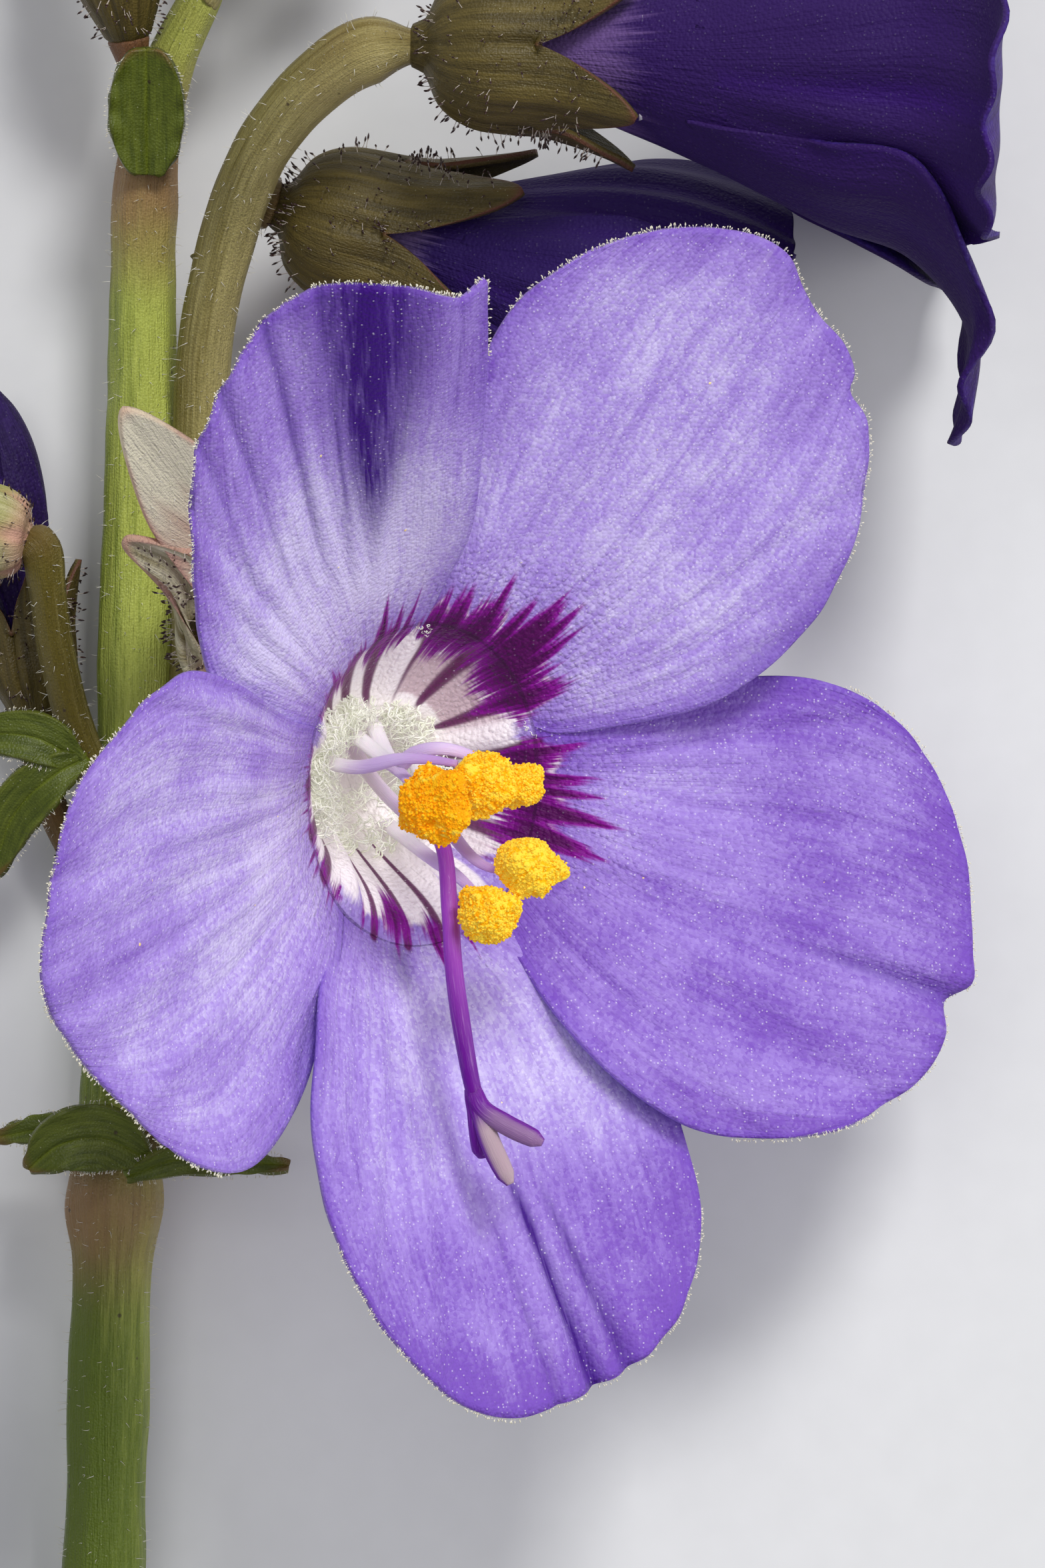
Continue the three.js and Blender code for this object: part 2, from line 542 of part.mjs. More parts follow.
// Main flower
function mainCorolla() {
  const tilt = Math.sin(LIMB_TILT * DEGREE);
  const axis = new THREE.Vector3(
    tilt * Math.cos(LIMB_TURN * DEGREE),
    tilt * Math.sin(LIMB_TURN * DEGREE),
    Math.cos(LIMB_TILT * DEGREE),
  );
  const centre = place(LIMB_CENTRE);
  const limb = axisFrame(axis, SIDEWAYS, centre);
  const throat = centre.clone().addScaledVector(axis, -FUNNEL_DEPTH);
  const line = smoothCurve([centre, throat, ...TUBE_BEND.map(place)]);
  const lobes = MAIN_LOBES.map((lobe) => lobeBlade(lobe, limb, 10, 7));
  const filaments = MAIN_FILAMENTS.map(({ root, route }) => {
    const foot = around(limb, FILAMENT_ROOT.radius, root * DEGREE, -FILAMENT_ROOT.depth);
    return bar([foot.toArray(), ...route], () => FILAMENT_RADIUS, 6, 4);
  });
  return join([funnel(limb, line, MAIN_WALL, 18), ...lobes, ...filaments]);
}

function mainPistil() {
  const fork = MAIN_STYLE[MAIN_STYLE.length - 1];
  const style = bar(MAIN_STYLE, (s) => STYLE_RADIUS - 0.04 * s, 16, 6);
  const ovary = bar(MAIN_OVARY, (s) => STYLE_RADIUS * (1 + Math.sin(s * Math.PI)), 4, 6);
  const stigmas = MAIN_STIGMAS
    .map((route) => bar([fork, ...route], (s) => STIGMA_RADIUS - 0.03 * s, 3, 5));
  return join([style, ovary, ...stigmas]);
}

function mainCalyx() {
  const base = place(MAIN_CALYX_BASE);
  const frame = axisFrame(place(MAIN_CALYX_TOWARDS).sub(base), SIDEWAYS, base);
  return calyx(frame, MAIN_CUP, MAIN_SEPALS, MAIN_SEPAL_HEADING, 6);
}

// Bell and half-open flowers
const flowerFrame = (flower) => axisFrame(
  place(flower.axis),
  new THREE.Vector3(0, -1, 0),
  place(flower.base),
);
const fiveHeadings = [0, 1, 2, 3, 4].map((k) => 72 * k);

// Corolla with an open tube and five petals that stand in a bell.
function bellCorolla(flower, columns, rows) {
  const frame = flowerFrame(flower);
  const outside = flower.tube.map(([r, z]) => [r + BLADE / 2, z]);
  const inside = flower.tube.slice(1).reverse().map(([r, z]) => [r - BLADE / 2, z]);
  const tube = turned(frame, [...outside, ...inside], 14);
  const petals = fiveHeadings.map((heading) => bellPetal(flower.petal, heading, frame, columns, rows));
  return join([tube, ...petals]);
}

// Headings of the stamens of a bell: between its petals.
const stamenHeadings = fiveHeadings.map((heading) => (heading + 36) * DEGREE);

// Filaments of the bell: each leaves the tube's wall and runs forward to its anther.
function bellFilaments() {
  const frame = flowerFrame(BELL);
  const { rootRadius, rootHeight, radius, height } = BELL_STAMENS;
  return stamenHeadings.map((angle) => {
    const route = [[rootRadius, rootHeight], [0.8 * radius, 0.6 * height], [radius, height]];
    return bar(route.map(([r, z]) => around(frame, r, angle, z).toArray()), () => FILAMENT_RADIUS, 3, 4);
  });
}

function bellAnthers() {
  const frame = flowerFrame(BELL);
  const height = BELL_STAMENS.height + BELL_ANTHER.beyond;
  return stamenHeadings.map((angle) => anther({
    at: around(frame, BELL_STAMENS.radius, angle, height).toArray(),
    half: BELL_ANTHER.half,
    heading: 0,
  }));
}

// Pistil on the flower's axis, with three stigma lobes that spread at its end.
function straightPistil(flower) {
  const frame = flowerFrame(flower);
  const at = (r, angle, z) => around(frame, r, angle, z).toArray();
  const height = flower.pistil;
  const style = bar(
    [at(0, 0, PISTIL_FOOT), at(0, 0, height)],
    (s) => 0.55 - 0.29 * smooth(s * 6),
    6,
    6,
  );
  const stigmas = [0, 1, 2].map((k) => {
    const angle = (k * 2 * Math.PI) / 3;
    const route = [at(0, 0, height - 0.2), at(0.35, angle, height + 0.7), at(1.0, angle, height + 1.2)];
    return bar(route, () => STIGMA_RADIUS - 0.03, 2, 5);
  });
  return join([style, ...stigmas]);
}

const evenCalyx = (frame, { cup, sepal }) => calyx(frame, cup, Array(5).fill(sepal), EVEN_HEADING, 4);

// Stem with its forks, and the pedicels that carry the flowers and buds
function stem() {
  const radii = new THREE.SplineCurve(STEM_RADII.map((r, k) => new THREE.Vector2(k, r)));
  const swell = (s) => STEM_NODES
    .reduce((sum, node) => sum + node.swell * Math.exp(-(((s - node.share) / NODE_SPREAD) ** 2)), 0);
  const main = bar(STEM, (s) => radii.getPoint(s).y + swell(s), 36, 8);
  const pedicels = PEDICELS.map(({ route, thin, thick, segments }) => bar(
    route,
    (s) => thin + (thick - thin) * smooth((s - 0.75) * 4) + ROOT_SWELL * (1 - smooth(s * 8)),
    segments,
    6,
  ));
  return join([main, ...pedicels]);
}

// Frame of a bud that goes on from the end of its pedicel, a seat's gap beyond it.
function budFrame(route, lean = [0, 0, 0]) {
  const end = place(route[route.length - 1]);
  const before = place(route[route.length - 2]);
  const run = end.clone().sub(before).normalize();
  const axis = run.clone().add(place(lean));
  return axisFrame(axis, UPWARDS, end.addScaledVector(run, SEAT_GAP));
}

// Colours of the pieces
const paint = (color, roughness) => new THREE.MeshStandardMaterial({ color, roughness, metalness: 0 });
const petalPaint = paint(0x8d78c8, 0.6);
const stemPaint = paint(0x8fa04a, 0.55);
const leafPaint = paint(0x4f6326, 0.6);
const calyxPaint = paint(0x6f6a3e, 0.7);
const pollenPaint = paint(0xf39a12, 0.9);
const stylePaint = paint(0x6a35a8, 0.5);

const part = new THREE.Group();
part.position.set(...ORIGIN);

function add(name, body, material) {
  const made = body.getMesh();
  const geometry = new THREE.BufferGeometry();
  geometry.setAttribute('position', new THREE.BufferAttribute(made.vertProperties, 3));
  geometry.setIndex(new THREE.BufferAttribute(made.triVerts, 1));
  geometry.computeVertexNormals();
  const mesh = new THREE.Mesh(geometry, material);
  mesh.name = name;
  part.add(mesh);
}

add('corolla_main', mainCorolla(), petalPaint);
add('pistil_main', mainPistil(), stylePaint);
add('calyx_main', mainCalyx(), calyxPaint);
MAIN_ANTHERS.forEach((one, k) => add(`anther_main_${k + 1}`, anther(one), pollenPaint));

add('corolla_bell', join([bellCorolla(BELL, 7, 6), ...bellFilaments()]), petalPaint);
add('pistil_bell', straightPistil(BELL), stylePaint);
add('calyx_bell', evenCalyx(flowerFrame(BELL), BELL), calyxPaint);
bellAnthers().forEach((body, k) => add(`anther_bell_${k + 1}`, body, pollenPaint));

add('corolla_half_open', bellCorolla(HALF_OPEN, 6, 5), petalPaint);
add('pistil_half_open', straightPistil(HALF_OPEN), stylePaint);
add('calyx_half_open', evenCalyx(flowerFrame(HALF_OPEN), HALF_OPEN), calyxPaint);

add('stem', stem(), stemPaint);
CLOSED_BUDS.forEach(({ name, route, lean, radius, length }) => {
  add(name, bud(budFrame(route, lean), radius, length), name === 'bud_left' ? calyxPaint : leafPaint);
});
ROLLED_BUDS.forEach((one) => {
  const frame = budFrame(one.route);
  add(`calyx_${one.name}`, evenCalyx(frame, one), calyxPaint);
  add(`corolla_${one.name}`, rolledCorolla(frame, one.radius, one.length), petalPaint);
});
Object.entries(BRACTS).forEach(([name, leaflets]) => {
  add(name, join(leaflets.map(leaflet)), leafPaint);
});

export default part;
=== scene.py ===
"""Looks of a cut flowering stem of Jacob's ladder that lies on a pale floor.

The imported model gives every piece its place. This script lays thin petals, sepals, leaves, stems,
pollen and hairs over it, as surfaces worked out with numpy in the spray's own millimetres.
"""
import logging
from dataclasses import dataclass
from enum import Enum

import bpy
import numpy as np
from mathutils import Matrix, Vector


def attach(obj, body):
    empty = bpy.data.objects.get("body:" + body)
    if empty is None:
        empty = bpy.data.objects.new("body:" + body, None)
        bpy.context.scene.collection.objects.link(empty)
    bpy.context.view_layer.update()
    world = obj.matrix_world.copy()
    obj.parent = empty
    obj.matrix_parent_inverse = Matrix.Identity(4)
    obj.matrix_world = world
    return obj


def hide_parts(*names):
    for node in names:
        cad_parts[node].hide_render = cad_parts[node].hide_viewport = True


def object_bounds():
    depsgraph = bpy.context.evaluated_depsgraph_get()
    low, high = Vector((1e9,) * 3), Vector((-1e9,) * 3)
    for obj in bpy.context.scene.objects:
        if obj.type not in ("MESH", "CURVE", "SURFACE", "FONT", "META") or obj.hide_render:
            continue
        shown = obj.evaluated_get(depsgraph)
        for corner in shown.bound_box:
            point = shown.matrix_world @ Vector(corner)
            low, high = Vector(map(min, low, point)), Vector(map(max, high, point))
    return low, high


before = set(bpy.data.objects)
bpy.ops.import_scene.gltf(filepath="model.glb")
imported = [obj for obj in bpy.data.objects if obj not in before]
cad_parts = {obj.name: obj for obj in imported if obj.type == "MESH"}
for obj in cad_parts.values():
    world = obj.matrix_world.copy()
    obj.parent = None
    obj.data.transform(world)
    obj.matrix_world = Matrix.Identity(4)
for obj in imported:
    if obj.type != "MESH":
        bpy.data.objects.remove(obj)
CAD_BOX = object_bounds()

log = logging.getLogger("spray")

# Millimetres of the spray to metres of the frame
ORIGIN = np.array([2.38, 16.16, 0.0])
METRE = 0.001
PER_METRE = 1 / METRE

# Directions and numbers that all shapes share; DENSE is the steps of a path between two points
SIDEWAYS = (1.0, 0.0, 0.0)
UPWARDS = (0.0, 0.0, 1.0)
DENSE = 24
TINY = 1e-9
PETALS = 5
UNMARKED = {"mark": -3.0, "beige": 0.0, "vein": 0.0}

Points = np.ndarray
Pair = tuple[float, float]
Spot = tuple[float, float, float]
Colour = tuple[float, float, float]
Socket = bpy.types.NodeSocket


class Slot(Enum):
    """Material slots."""

    PETAL = "petal"
    STYLE = "style"
    POLLEN = "pollen"
    CALYX = "calyx"
    STEM = "stem"
    BUD = "bud"
    LEAF = "leaf"


# Sums


def smooth(value: Points) -> Points:
    """Ease from 0 to 1: t squared times three less twice t, with t held between 0 and 1."""
    t = np.clip(value, 0.0, 1.0)
    return t * t * (3.0 - 2.0 * t)


def unit(vectors: Points) -> Points:
    """Vectors of length one."""
    return vectors / np.maximum(np.linalg.norm(vectors, axis=-1, keepdims=True), TINY)


def hill(distance: Points, width: float | Points) -> Points:
    """Round hill: e to the minus square of the distance over the width."""
    return np.exp(-((distance / width) ** 2))


def stacked(*values: Points) -> Points:
    """Numbers spread over one another's shapes and put side by side as vectors."""
    return np.stack(np.broadcast_arrays(*values), -1)


def turns(sides: int) -> Points:
    """Angles of a ring's sides."""
    return np.arange(sides) * 2 * np.pi / sides


def ripple(value: Points, seed: int, lowest: float, highest: float, waves: int = 9) -> Points:
    """Uneven wave between about -1 and 1: the sum of sines over the root of their number.

    Args:
        value: where the wave is read.
        seed: seed of the sines' rates and phases.
        lowest: slowest rate, in radians for each unit of value.
        highest: fastest rate.
        waves: how many sines are summed.

    Returns:
        The wave at each value.
    """
    draw = np.random.default_rng(seed)
    rates = draw.uniform(lowest, highest, waves)
    phases = draw.uniform(0, 2 * np.pi, waves)
    return np.sin(np.multiply.outer(value, rates) + phases).sum(-1) / np.sqrt(waves)


def srgb(red: int, green: int, blue: int) -> Colour:
    """Linear colour of a screen colour in 0 to 255: the share plus 0.055 over 1.055, to the power 2.4."""
    share = np.array([red, green, blue]) / 255.0
    linear = np.where(share < 0.04045, share / 12.92, ((share + 0.055) / 1.055) ** 2.4)
    return tuple(float(c) for c in linear)


class Path:
    """Smooth line through points: a centripetal Catmull-Rom curve, read by its share of length."""

    def __init__(self, points: tuple | list | Points) -> None:
        """Work out the dense line.

        Args:
            points: the points that it runs through, two or three numbers each.
        """
        given = np.asarray(points, float)
        knots = np.concatenate([2 * given[:1] - given[1:2], given, 2 * given[-1:] - given[-2:-1]])
        gaps = np.maximum(np.linalg.norm(np.diff(knots, axis=0), axis=1), TINY) ** 0.5
        p0, p1, p2, p3 = knots[:-3], knots[1:-2], knots[2:-1], knots[3:]
        d0, d1, d2 = (g[:, None] for g in (gaps[:-2], gaps[1:-1], gaps[2:]))
        leave = ((p1 - p0) / d0 - (p2 - p0) / (d0 + d1) + (p2 - p1) / d1) * d1
        arrive = ((p2 - p1) / d1 - (p3 - p1) / (d1 + d2) + (p3 - p2) / d2) * d1
        t = np.linspace(0, 1, DENSE, endpoint=False)[None, :, None]
        a, b, u, w = p1[:, None], p2[:, None], leave[:, None], arrive[:, None]
        line = a + u * t + (3 * b - 3 * a - 2 * u - w) * t**2 + (2 * a - 2 * b + u + w) * t**3
        self.line = np.concatenate([line.reshape(-1, given.shape[1]), given[-1:]])
        steps = np.linalg.norm(np.diff(self.line, axis=0), axis=1)
        self.length = float(steps.sum())
        self.shares = np.concatenate([[0.0], np.cumsum(steps)]) / self.length

    def at(self, share: Points) -> Points:
        """Points at shares of the line's length."""
        return np.stack([np.interp(share, self.shares, axis) for axis in self.line.T], -1)

    def along(self, share: Points) -> Points:
        """Unit directions of travel at shares of the length."""
        step = 0.5 / len(self.line)
        return unit(self.at(np.clip(share + step, 0, 1)) - self.at(np.clip(share - step, 0, 1)))

    def second_at(self, first: Points) -> Points:
        """Second coordinate where the first, which grows along the line, has a value."""
        return np.interp(first, self.line[:, 0], self.line[:, 1])


@dataclass(frozen=True)
class Axes:
    """Place and three directions that a form is built in, z along its own axis."""

    origin: Points
    x: Points
    y: Points
    z: Points

    @classmethod
    def along(cls, axis: Points, side: Points, origin: Points) -> "Axes":
        """Axes at an origin, with z along an axis and x as close to a side as it can be."""
        z, side = unit(np.asarray(axis, float)), np.asarray(side, float)
        x = unit(side - z * (side @ z))
        return cls(np.asarray(origin, float), x, np.cross(z, x), z)

    def put(self, x: Points, y: Points, z: Points) -> Points:
        """Points of the spray at three coordinates in these axes."""
        x, y, z = np.broadcast_arrays(x, y, z)
        return self.origin + x[..., None] * self.x + y[..., None] * self.y + z[..., None] * self.z

    def around(self, radius: Points, angle: Points, height: Points) -> Points:
        """Points of the spray at a radius, angle and height about z."""
        return self.put(radius * np.cos(angle), radius * np.sin(angle), height)


# Meshes


def grid_faces(index: Points) -> Points:
    """Quads between neighbours of a grid of vertex numbers, facing columns cross rows."""
    a, b, c, d = index[:-1, :-1], index[:-1, 1:], index[1:, 1:], index[1:, :-1]
    return np.stack([a, b, c, d], -1).reshape(-1, 4)


def grid_index(rows: int, columns: int, closed: bool = False) -> Points:
    """Vertex numbers of a grid, with its first column again at the end if it closes on itself."""
    index = np.arange(rows * columns).reshape(rows, columns)
    return np.concatenate([index, index[:, :1]], 1) if closed else index


def repeated(faces: Points | list, count: int, step: int) -> Points:
    """Faces of one part repeated for a count of equal parts that each have a step's number of vertices."""
    faces = np.asarray(faces)
    return (faces[None] + (np.arange(count) * step)[:, None, None]).reshape(-1, faces.shape[-1])


def vertex_normals(points: Points, quads: Points) -> Points:
    """Unit normals at vertices: the sum of the cross products of the diagonals of the quads round each."""
    corners = points[quads]
    faces = np.cross(corners[:, 2] - corners[:, 0], corners[:, 3] - corners[:, 1])
    total = np.zeros_like(points)
    np.add.at(total, quads.ravel(), np.repeat(faces, 4, axis=0))
    return unit(total)


def per_vertex(value: Points | float, count: int) -> Points:
    """One number or vector for each of a count of vertices, from a grid of them or one for all."""
    value = np.asarray(value, float)
    if value.ndim == 0:
        return np.full(count, float(value))
    return value.reshape((count, 3) if value.size == 3 * count else count)


def tube_rings(path: Path, share: Points, angle: Points, radius: Points, reference: Points,
               flat: float = 1.0) -> Points:
    """Rings along a path: centre plus radius times cosine of the angle to the side plus sine upwards.

    Args:
        path: the centre line.
        share: share of the length of each ring.
        angle: angle of each side.
        radius: radius of each ring, or of each ring and side.
        reference: direction that no part of the path runs along; the side is square to it.
        flat: height of the section over its width.

    Returns:
        Points as rings by sides.
    """
    travel = path.along(share)
    side = unit(np.cross(np.asarray(reference, float), travel))
    lift = np.cross(travel, side)
    radius = radius[:, None] if np.ndim(radius) == 1 else radius
    across = (radius * np.cos(angle))[..., None] * side[:, None]
    upward = (flat * radius * np.sin(angle))[..., None] * lift[:, None]
    return path.at(share)[:, None] + across + upward


class Draft:
    """Mesh in the making: batches of vertices and faces with named values at the vertices."""

    def __init__(self, name: str) -> None:
        """Start an empty mesh under a piece's name."""
        self.name = name
        self.points: list[Points] = []
        self.faces: list[Points] = []
        self.layers: dict[str, list[Points]] = {}
        self.count = 0

    def add(self, points: Points, faces: list[Points], **layers: Points) -> None:
        """Add a batch.

        Args:
            points: vertices in the spray's millimetres.
            faces: arrays of three or four vertex numbers a row, counted within the batch.
            layers: one number or vector for each vertex, or one for all.
        """
        points = points.reshape(-1, 3)
        self.points.append(points)
        self.faces.extend(np.asarray(rows) + self.count for rows in faces)
        for key, value in layers.items():
            self.layers.setdefault(key, []).append(per_vertex(value, len(points)))
        self.count += len(points)

    def add_thick(self, points: Points, quads: Points, thickness: Points, **layers: Points) -> None:
        """Add a closed sheet: a surface moved half its thickness out on both sides, joined by a rim.

        Args:
            points: vertices of the middle surface.
            quads: its faces, front side out.
            thickness: thickness at each vertex.
            layers: one number or vector for each vertex of the middle surface.
        """
        count = len(points)
        offset = vertex_normals(points, quads) * (thickness / 2)[:, None]
        starts, ends = quads.ravel(), np.roll(quads, -1, axis=1).ravel()
        lone = ~np.isin(starts * count + ends, ends * count + starts)
        a, b = starts[lone], ends[lone]
        rim = np.stack([b, a, a + count, b + count], -1)
        faces = np.concatenate([quads, quads[:, ::-1] + count, rim])
        side = np.concatenate([np.ones(count), np.zeros(count)])
        both = {key: np.concatenate([per_vertex(value, count)] * 2) for key, value in layers.items()}
        self.add(np.concatenate([points + offset, points - offset]), [faces], side=side, **both)

    def add_sheet(self, points: Points, thickness: float, closed: bool = False, **layers: Points) -> None:
        """Add a grid of points as a thin closed sheet; layers are given once for each grid point."""
        rows, columns = points.shape[:2]
        self.add_thick(points.reshape(-1, 3), grid_faces(grid_index(rows, columns, closed)),
                       np.full(rows * columns, thickness), **layers)

    def add_tube(self, rings: Points, **layers: Points) -> None:
        """Add a row of rings as a closed tube, each end closed by a fan to its middle.

        Args:
            rings: points as rings by sides.
            layers: one number or vector for each point of the rings.
        """
        rows, sides = rings.shape[:2]
        index = grid_index(rows, sides, closed=True)
        first, last = rows * sides, rows * sides + 1
        root = stacked(first, index[0, 1:], index[0, :-1])
        tip = stacked(last, index[-1, :-1], index[-1, 1:])
        grown = {"side": 1.0}
        for key, value in layers.items():
            value = np.asarray(value, float)
            grid = value if value.ndim == 3 else np.broadcast_to(value, (rows, sides))
            ends = grid[[0, -1]].mean(axis=1) if value.ndim == 3 else grid[[0, -1], 0]
            grown[key] = np.concatenate([per_vertex(grid, rows * sides), ends])
        self.add(np.concatenate([rings.reshape(-1, 3), rings[[0, -1]].mean(axis=1)]),
                 [grid_faces(index), root, tip], **grown)

    def build(self, finish: str, slot: Slot, *replaced: str) -> None:
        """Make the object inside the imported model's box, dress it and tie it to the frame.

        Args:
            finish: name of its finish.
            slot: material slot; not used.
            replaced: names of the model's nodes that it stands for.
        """
        mesh = bpy.data.meshes.new(self.name)
        points = np.clip((np.concatenate(self.points) + ORIGIN) * METRE, *np.asarray(CAD_BOX))
        mesh.from_pydata(points.tolist(), [], [row for rows in self.faces for row in rows.tolist()])
        mesh.polygons.foreach_set("use_smooth", np.ones(len(mesh.polygons), bool))
        for key, values in self.layers.items():
            data = np.concatenate(values)
            kind, place = ("FLOAT_VECTOR", "vector") if data.ndim == 2 else ("FLOAT", "value")
            layer = mesh.attributes.new(key, kind, "POINT")
            layer.data.foreach_set(place, data.astype(np.float32).ravel())
        mesh.materials.append(Palette.get(finish))
        mesh.update()
        piece = bpy.data.objects.new(self.name, mesh)
        bpy.context.scene.collection.objects.link(piece)
        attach(piece, "root")
        if replaced:
            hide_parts(*replaced)
        log.info("%s: %d triangles", self.name, sum(len(rows) * (rows.shape[1] - 2) for rows in self.faces))


@dataclass(frozen=True)
class HairKind:
    """Hair of one kind: radii along its length, and how far it bends and curls."""

    profile: tuple[float, ...]
    bend: float = 0.25
    curl: float = 0.0
    turns: float = 0.0

    def grow(self, draft: Draft, roots: Points, directions: Points, lengths: Points, radius: float,
             seed: int) -> None:
        """Add hairs: each is a three-sided tube on a line that bows sideways and may wind round itself.

        Args:
            draft: the mesh that takes them.
            roots: their feet.
            directions: the way that they point.
            lengths: their lengths.
            radius: their radius at the foot.
            seed: seed of the bends.
        """
        count, steps = len(roots), len(self.profile)
        draw = np.random.default_rng(seed)
        heading = unit(directions)
        side = unit(np.cross(heading, draw.normal(size=(count, 3))))
        third = np.cross(heading, side)
        share = np.linspace(0, 1, steps)
        phase = draw.uniform(0, 2 * np.pi, count)[:, None] + share * self.turns * 2 * np.pi
        bow = (self.bend * share**2)[None, :] + self.curl * share * np.cos(phase)
        wind = self.curl * share * np.sin(phase)
        line = (roots[:, None] + lengths[:, None, None] * (share[None, :, None] * heading[:, None]
                + bow[..., None] * side[:, None] + wind[..., None] * third[:, None]))
        angle = turns(3)
        thick = (radius * np.asarray(self.profile))[None, :, None, None]
        ring = np.cos(angle)[:, None] * side[:, None] + np.sin(angle)[:, None] * third[:, None]
        points = line[:, :, None] + thick * ring[:, None]
        index = grid_index(steps, 3, closed=True)
        parts = (grid_faces(index), index[:1, 2::-1], index[-1:, :3])
        draft.add(points, [repeated(part, count, steps * 3) for part in parts],
                  share=np.broadcast_to(share[None, :, None], (count, steps, 3)).ravel())


FINE_HAIR = HairKind(profile=(1.0, 0.85, 0.65, 0.4, 0.12), bend=0.3)
HEADED_HAIR = HairKind(profile=(1.0, 0.7, 0.55, 0.5, 1.7, 1.9, 0.5), bend=0.2)
WOOLLY_HAIR = HairKind(profile=(1.0, 1.0, 0.95, 0.95, 0.9, 0.9, 0.8, 0.7, 0.5, 0.2), bend=0.35, curl=0.26,
                       turns=1.9)


# Finishes


class Shader:
    """Helper that adds nodes to a material or a group, sets them and links them."""

    def __init__(self, tree: bpy.types.NodeTree) -> None:
        """Work on a node tree."""
        self.tree = tree

    def set(self, node: bpy.types.Node, values: dict) -> None:
        """Link each value that is a socket to a node's input of that name or number, or set the input."""
        for key, value in values.items():
            target = node.inputs[key]
            if isinstance(value, Socket):
                self.tree.links.new(value, target)
            elif isinstance(value, tuple) and len(value) == 3 and len(target.default_value) == 4:
                target.default_value = (*value, 1.0)
            else:
                target.default_value = value

    def node(self, kind: str, inputs: dict, **settings: object) -> bpy.types.Node:
        """Add a node.

        Args:
            kind: type of the node, without the words that all types begin with.
            inputs: values or sockets for its inputs, by name or number.
            settings: its own properties.

        Returns:
            The node.
        """
        made = self.tree.nodes.new(f"ShaderNode{kind}")
        for key, value in settings.items():
            setattr(made, key, value)
        self.set(made, inputs)
        return made

    def effect(self, name: str, **inputs: object) -> dict[str, Socket]:
        """Outputs of a shared effect that is placed with these inputs."""
        return self.node("Group", inputs, node_tree=SharedEffects.group(name)).outputs

    def math(self, operation: str, *values: object) -> Socket:
        """Result of a sum on up to three values."""
        return self.node("Math", dict(enumerate(values)), operation=operation).outputs[0]

    def times(self, first: object, second: object) -> Socket:
        """Product of two values."""
        return self.math("MULTIPLY", first, second)

    def total(self, start: object, *terms: tuple[object, float]) -> object:
        """Start plus each value times its weight."""
        for value, weight in terms:
            start = self.math("MULTIPLY_ADD", value, weight, start)
        return start

    def ease(self, value: object, low: float, high: float, start: float = 0.0, end: float = 1.0) -> Socket:
        """Value eased from start to end as it goes from low to high."""
        inputs = {"Value": value, "From Min": low, "From Max": high, "To Min": start, "To Max": end}
        return self.node("MapRange", inputs, interpolation_type="SMOOTHSTEP").outputs["Result"]

    def blend(self, factor: object, first: object, second: object) -> Socket:
        """Mix of two colours."""
        inputs = {0: factor, 6: first, 7: second}
        return self.node("Mix", inputs, data_type="RGBA", clamp_factor=True).outputs[2]

    def layer(self, name: str, vector: bool = False) -> Socket:
        """Value that the mesh carries at its vertices."""
        return self.node("Attribute", {}, attribute_name=name).outputs["Vector" if vector else "Fac"]

    def place(self) -> Socket:
        """Object coordinates, in metres."""
        return self.node("TexCoord", {}).outputs["Object"]

    def noise(self, vector: object, scale: object, detail: float = 2.0, rough: float = 0.5) -> Socket:
        """Soft noise between 0 and 1."""
        inputs = {"Vector": vector, "Scale": scale, "Detail": detail, "Roughness": rough}
        return self.node("TexNoise", inputs).outputs["Fac"]

    def stretched_noise(self, vector: object, stretch: Colour, scale: object, detail: float,
                        rough: float) -> Socket:
        """Soft noise on a vector whose coordinates are scaled each by its own share."""
        made = self.node("Mapping", {"Vector": vector, "Scale": stretch})
        return self.noise(made.outputs["Vector"], scale, detail, rough)

    def cell_noise(self, scale: object) -> dict[str, Socket]:
        """Distance to the nearest of many scattered middles, and its colour drawn at random."""
        return self.node("TexVoronoi", {"Vector": self.place(), "Scale": scale}, feature="F1").outputs

    def bump(self, height: object, millimetres: float, strength: float = 1.0,
             under: Socket | None = None) -> Socket:
        """Normal bent by a height that is given in shares of a distance, over another normal if given."""
        inputs = {"Height": height, "Distance": millimetres * METRE, "Strength": strength}
        if under is not None:
            inputs["Normal"] = under
        return self.node("Bump", inputs).outputs["Normal"]


class Coat(Shader):
    """Material with one Principled shader, dressed through the helper's methods."""

    def __init__(self, name: str) -> None:
        """Start the material under the name of its finish."""
        self.material = bpy.data.materials.new(name)
        self.material.use_nodes = True
        super().__init__(self.material.node_tree)
        self.tree.nodes.clear()
        self.surface = self.node("BsdfPrincipled", {})
        self.node("OutputMaterial", {"Surface": self.surface.outputs["BSDF"]})

    def wear(self, values: dict[str, object]) -> bpy.types.Material:
        """Give the Principled shader its inputs and return the material."""
        self.set(self.surface, values)
        return self.material


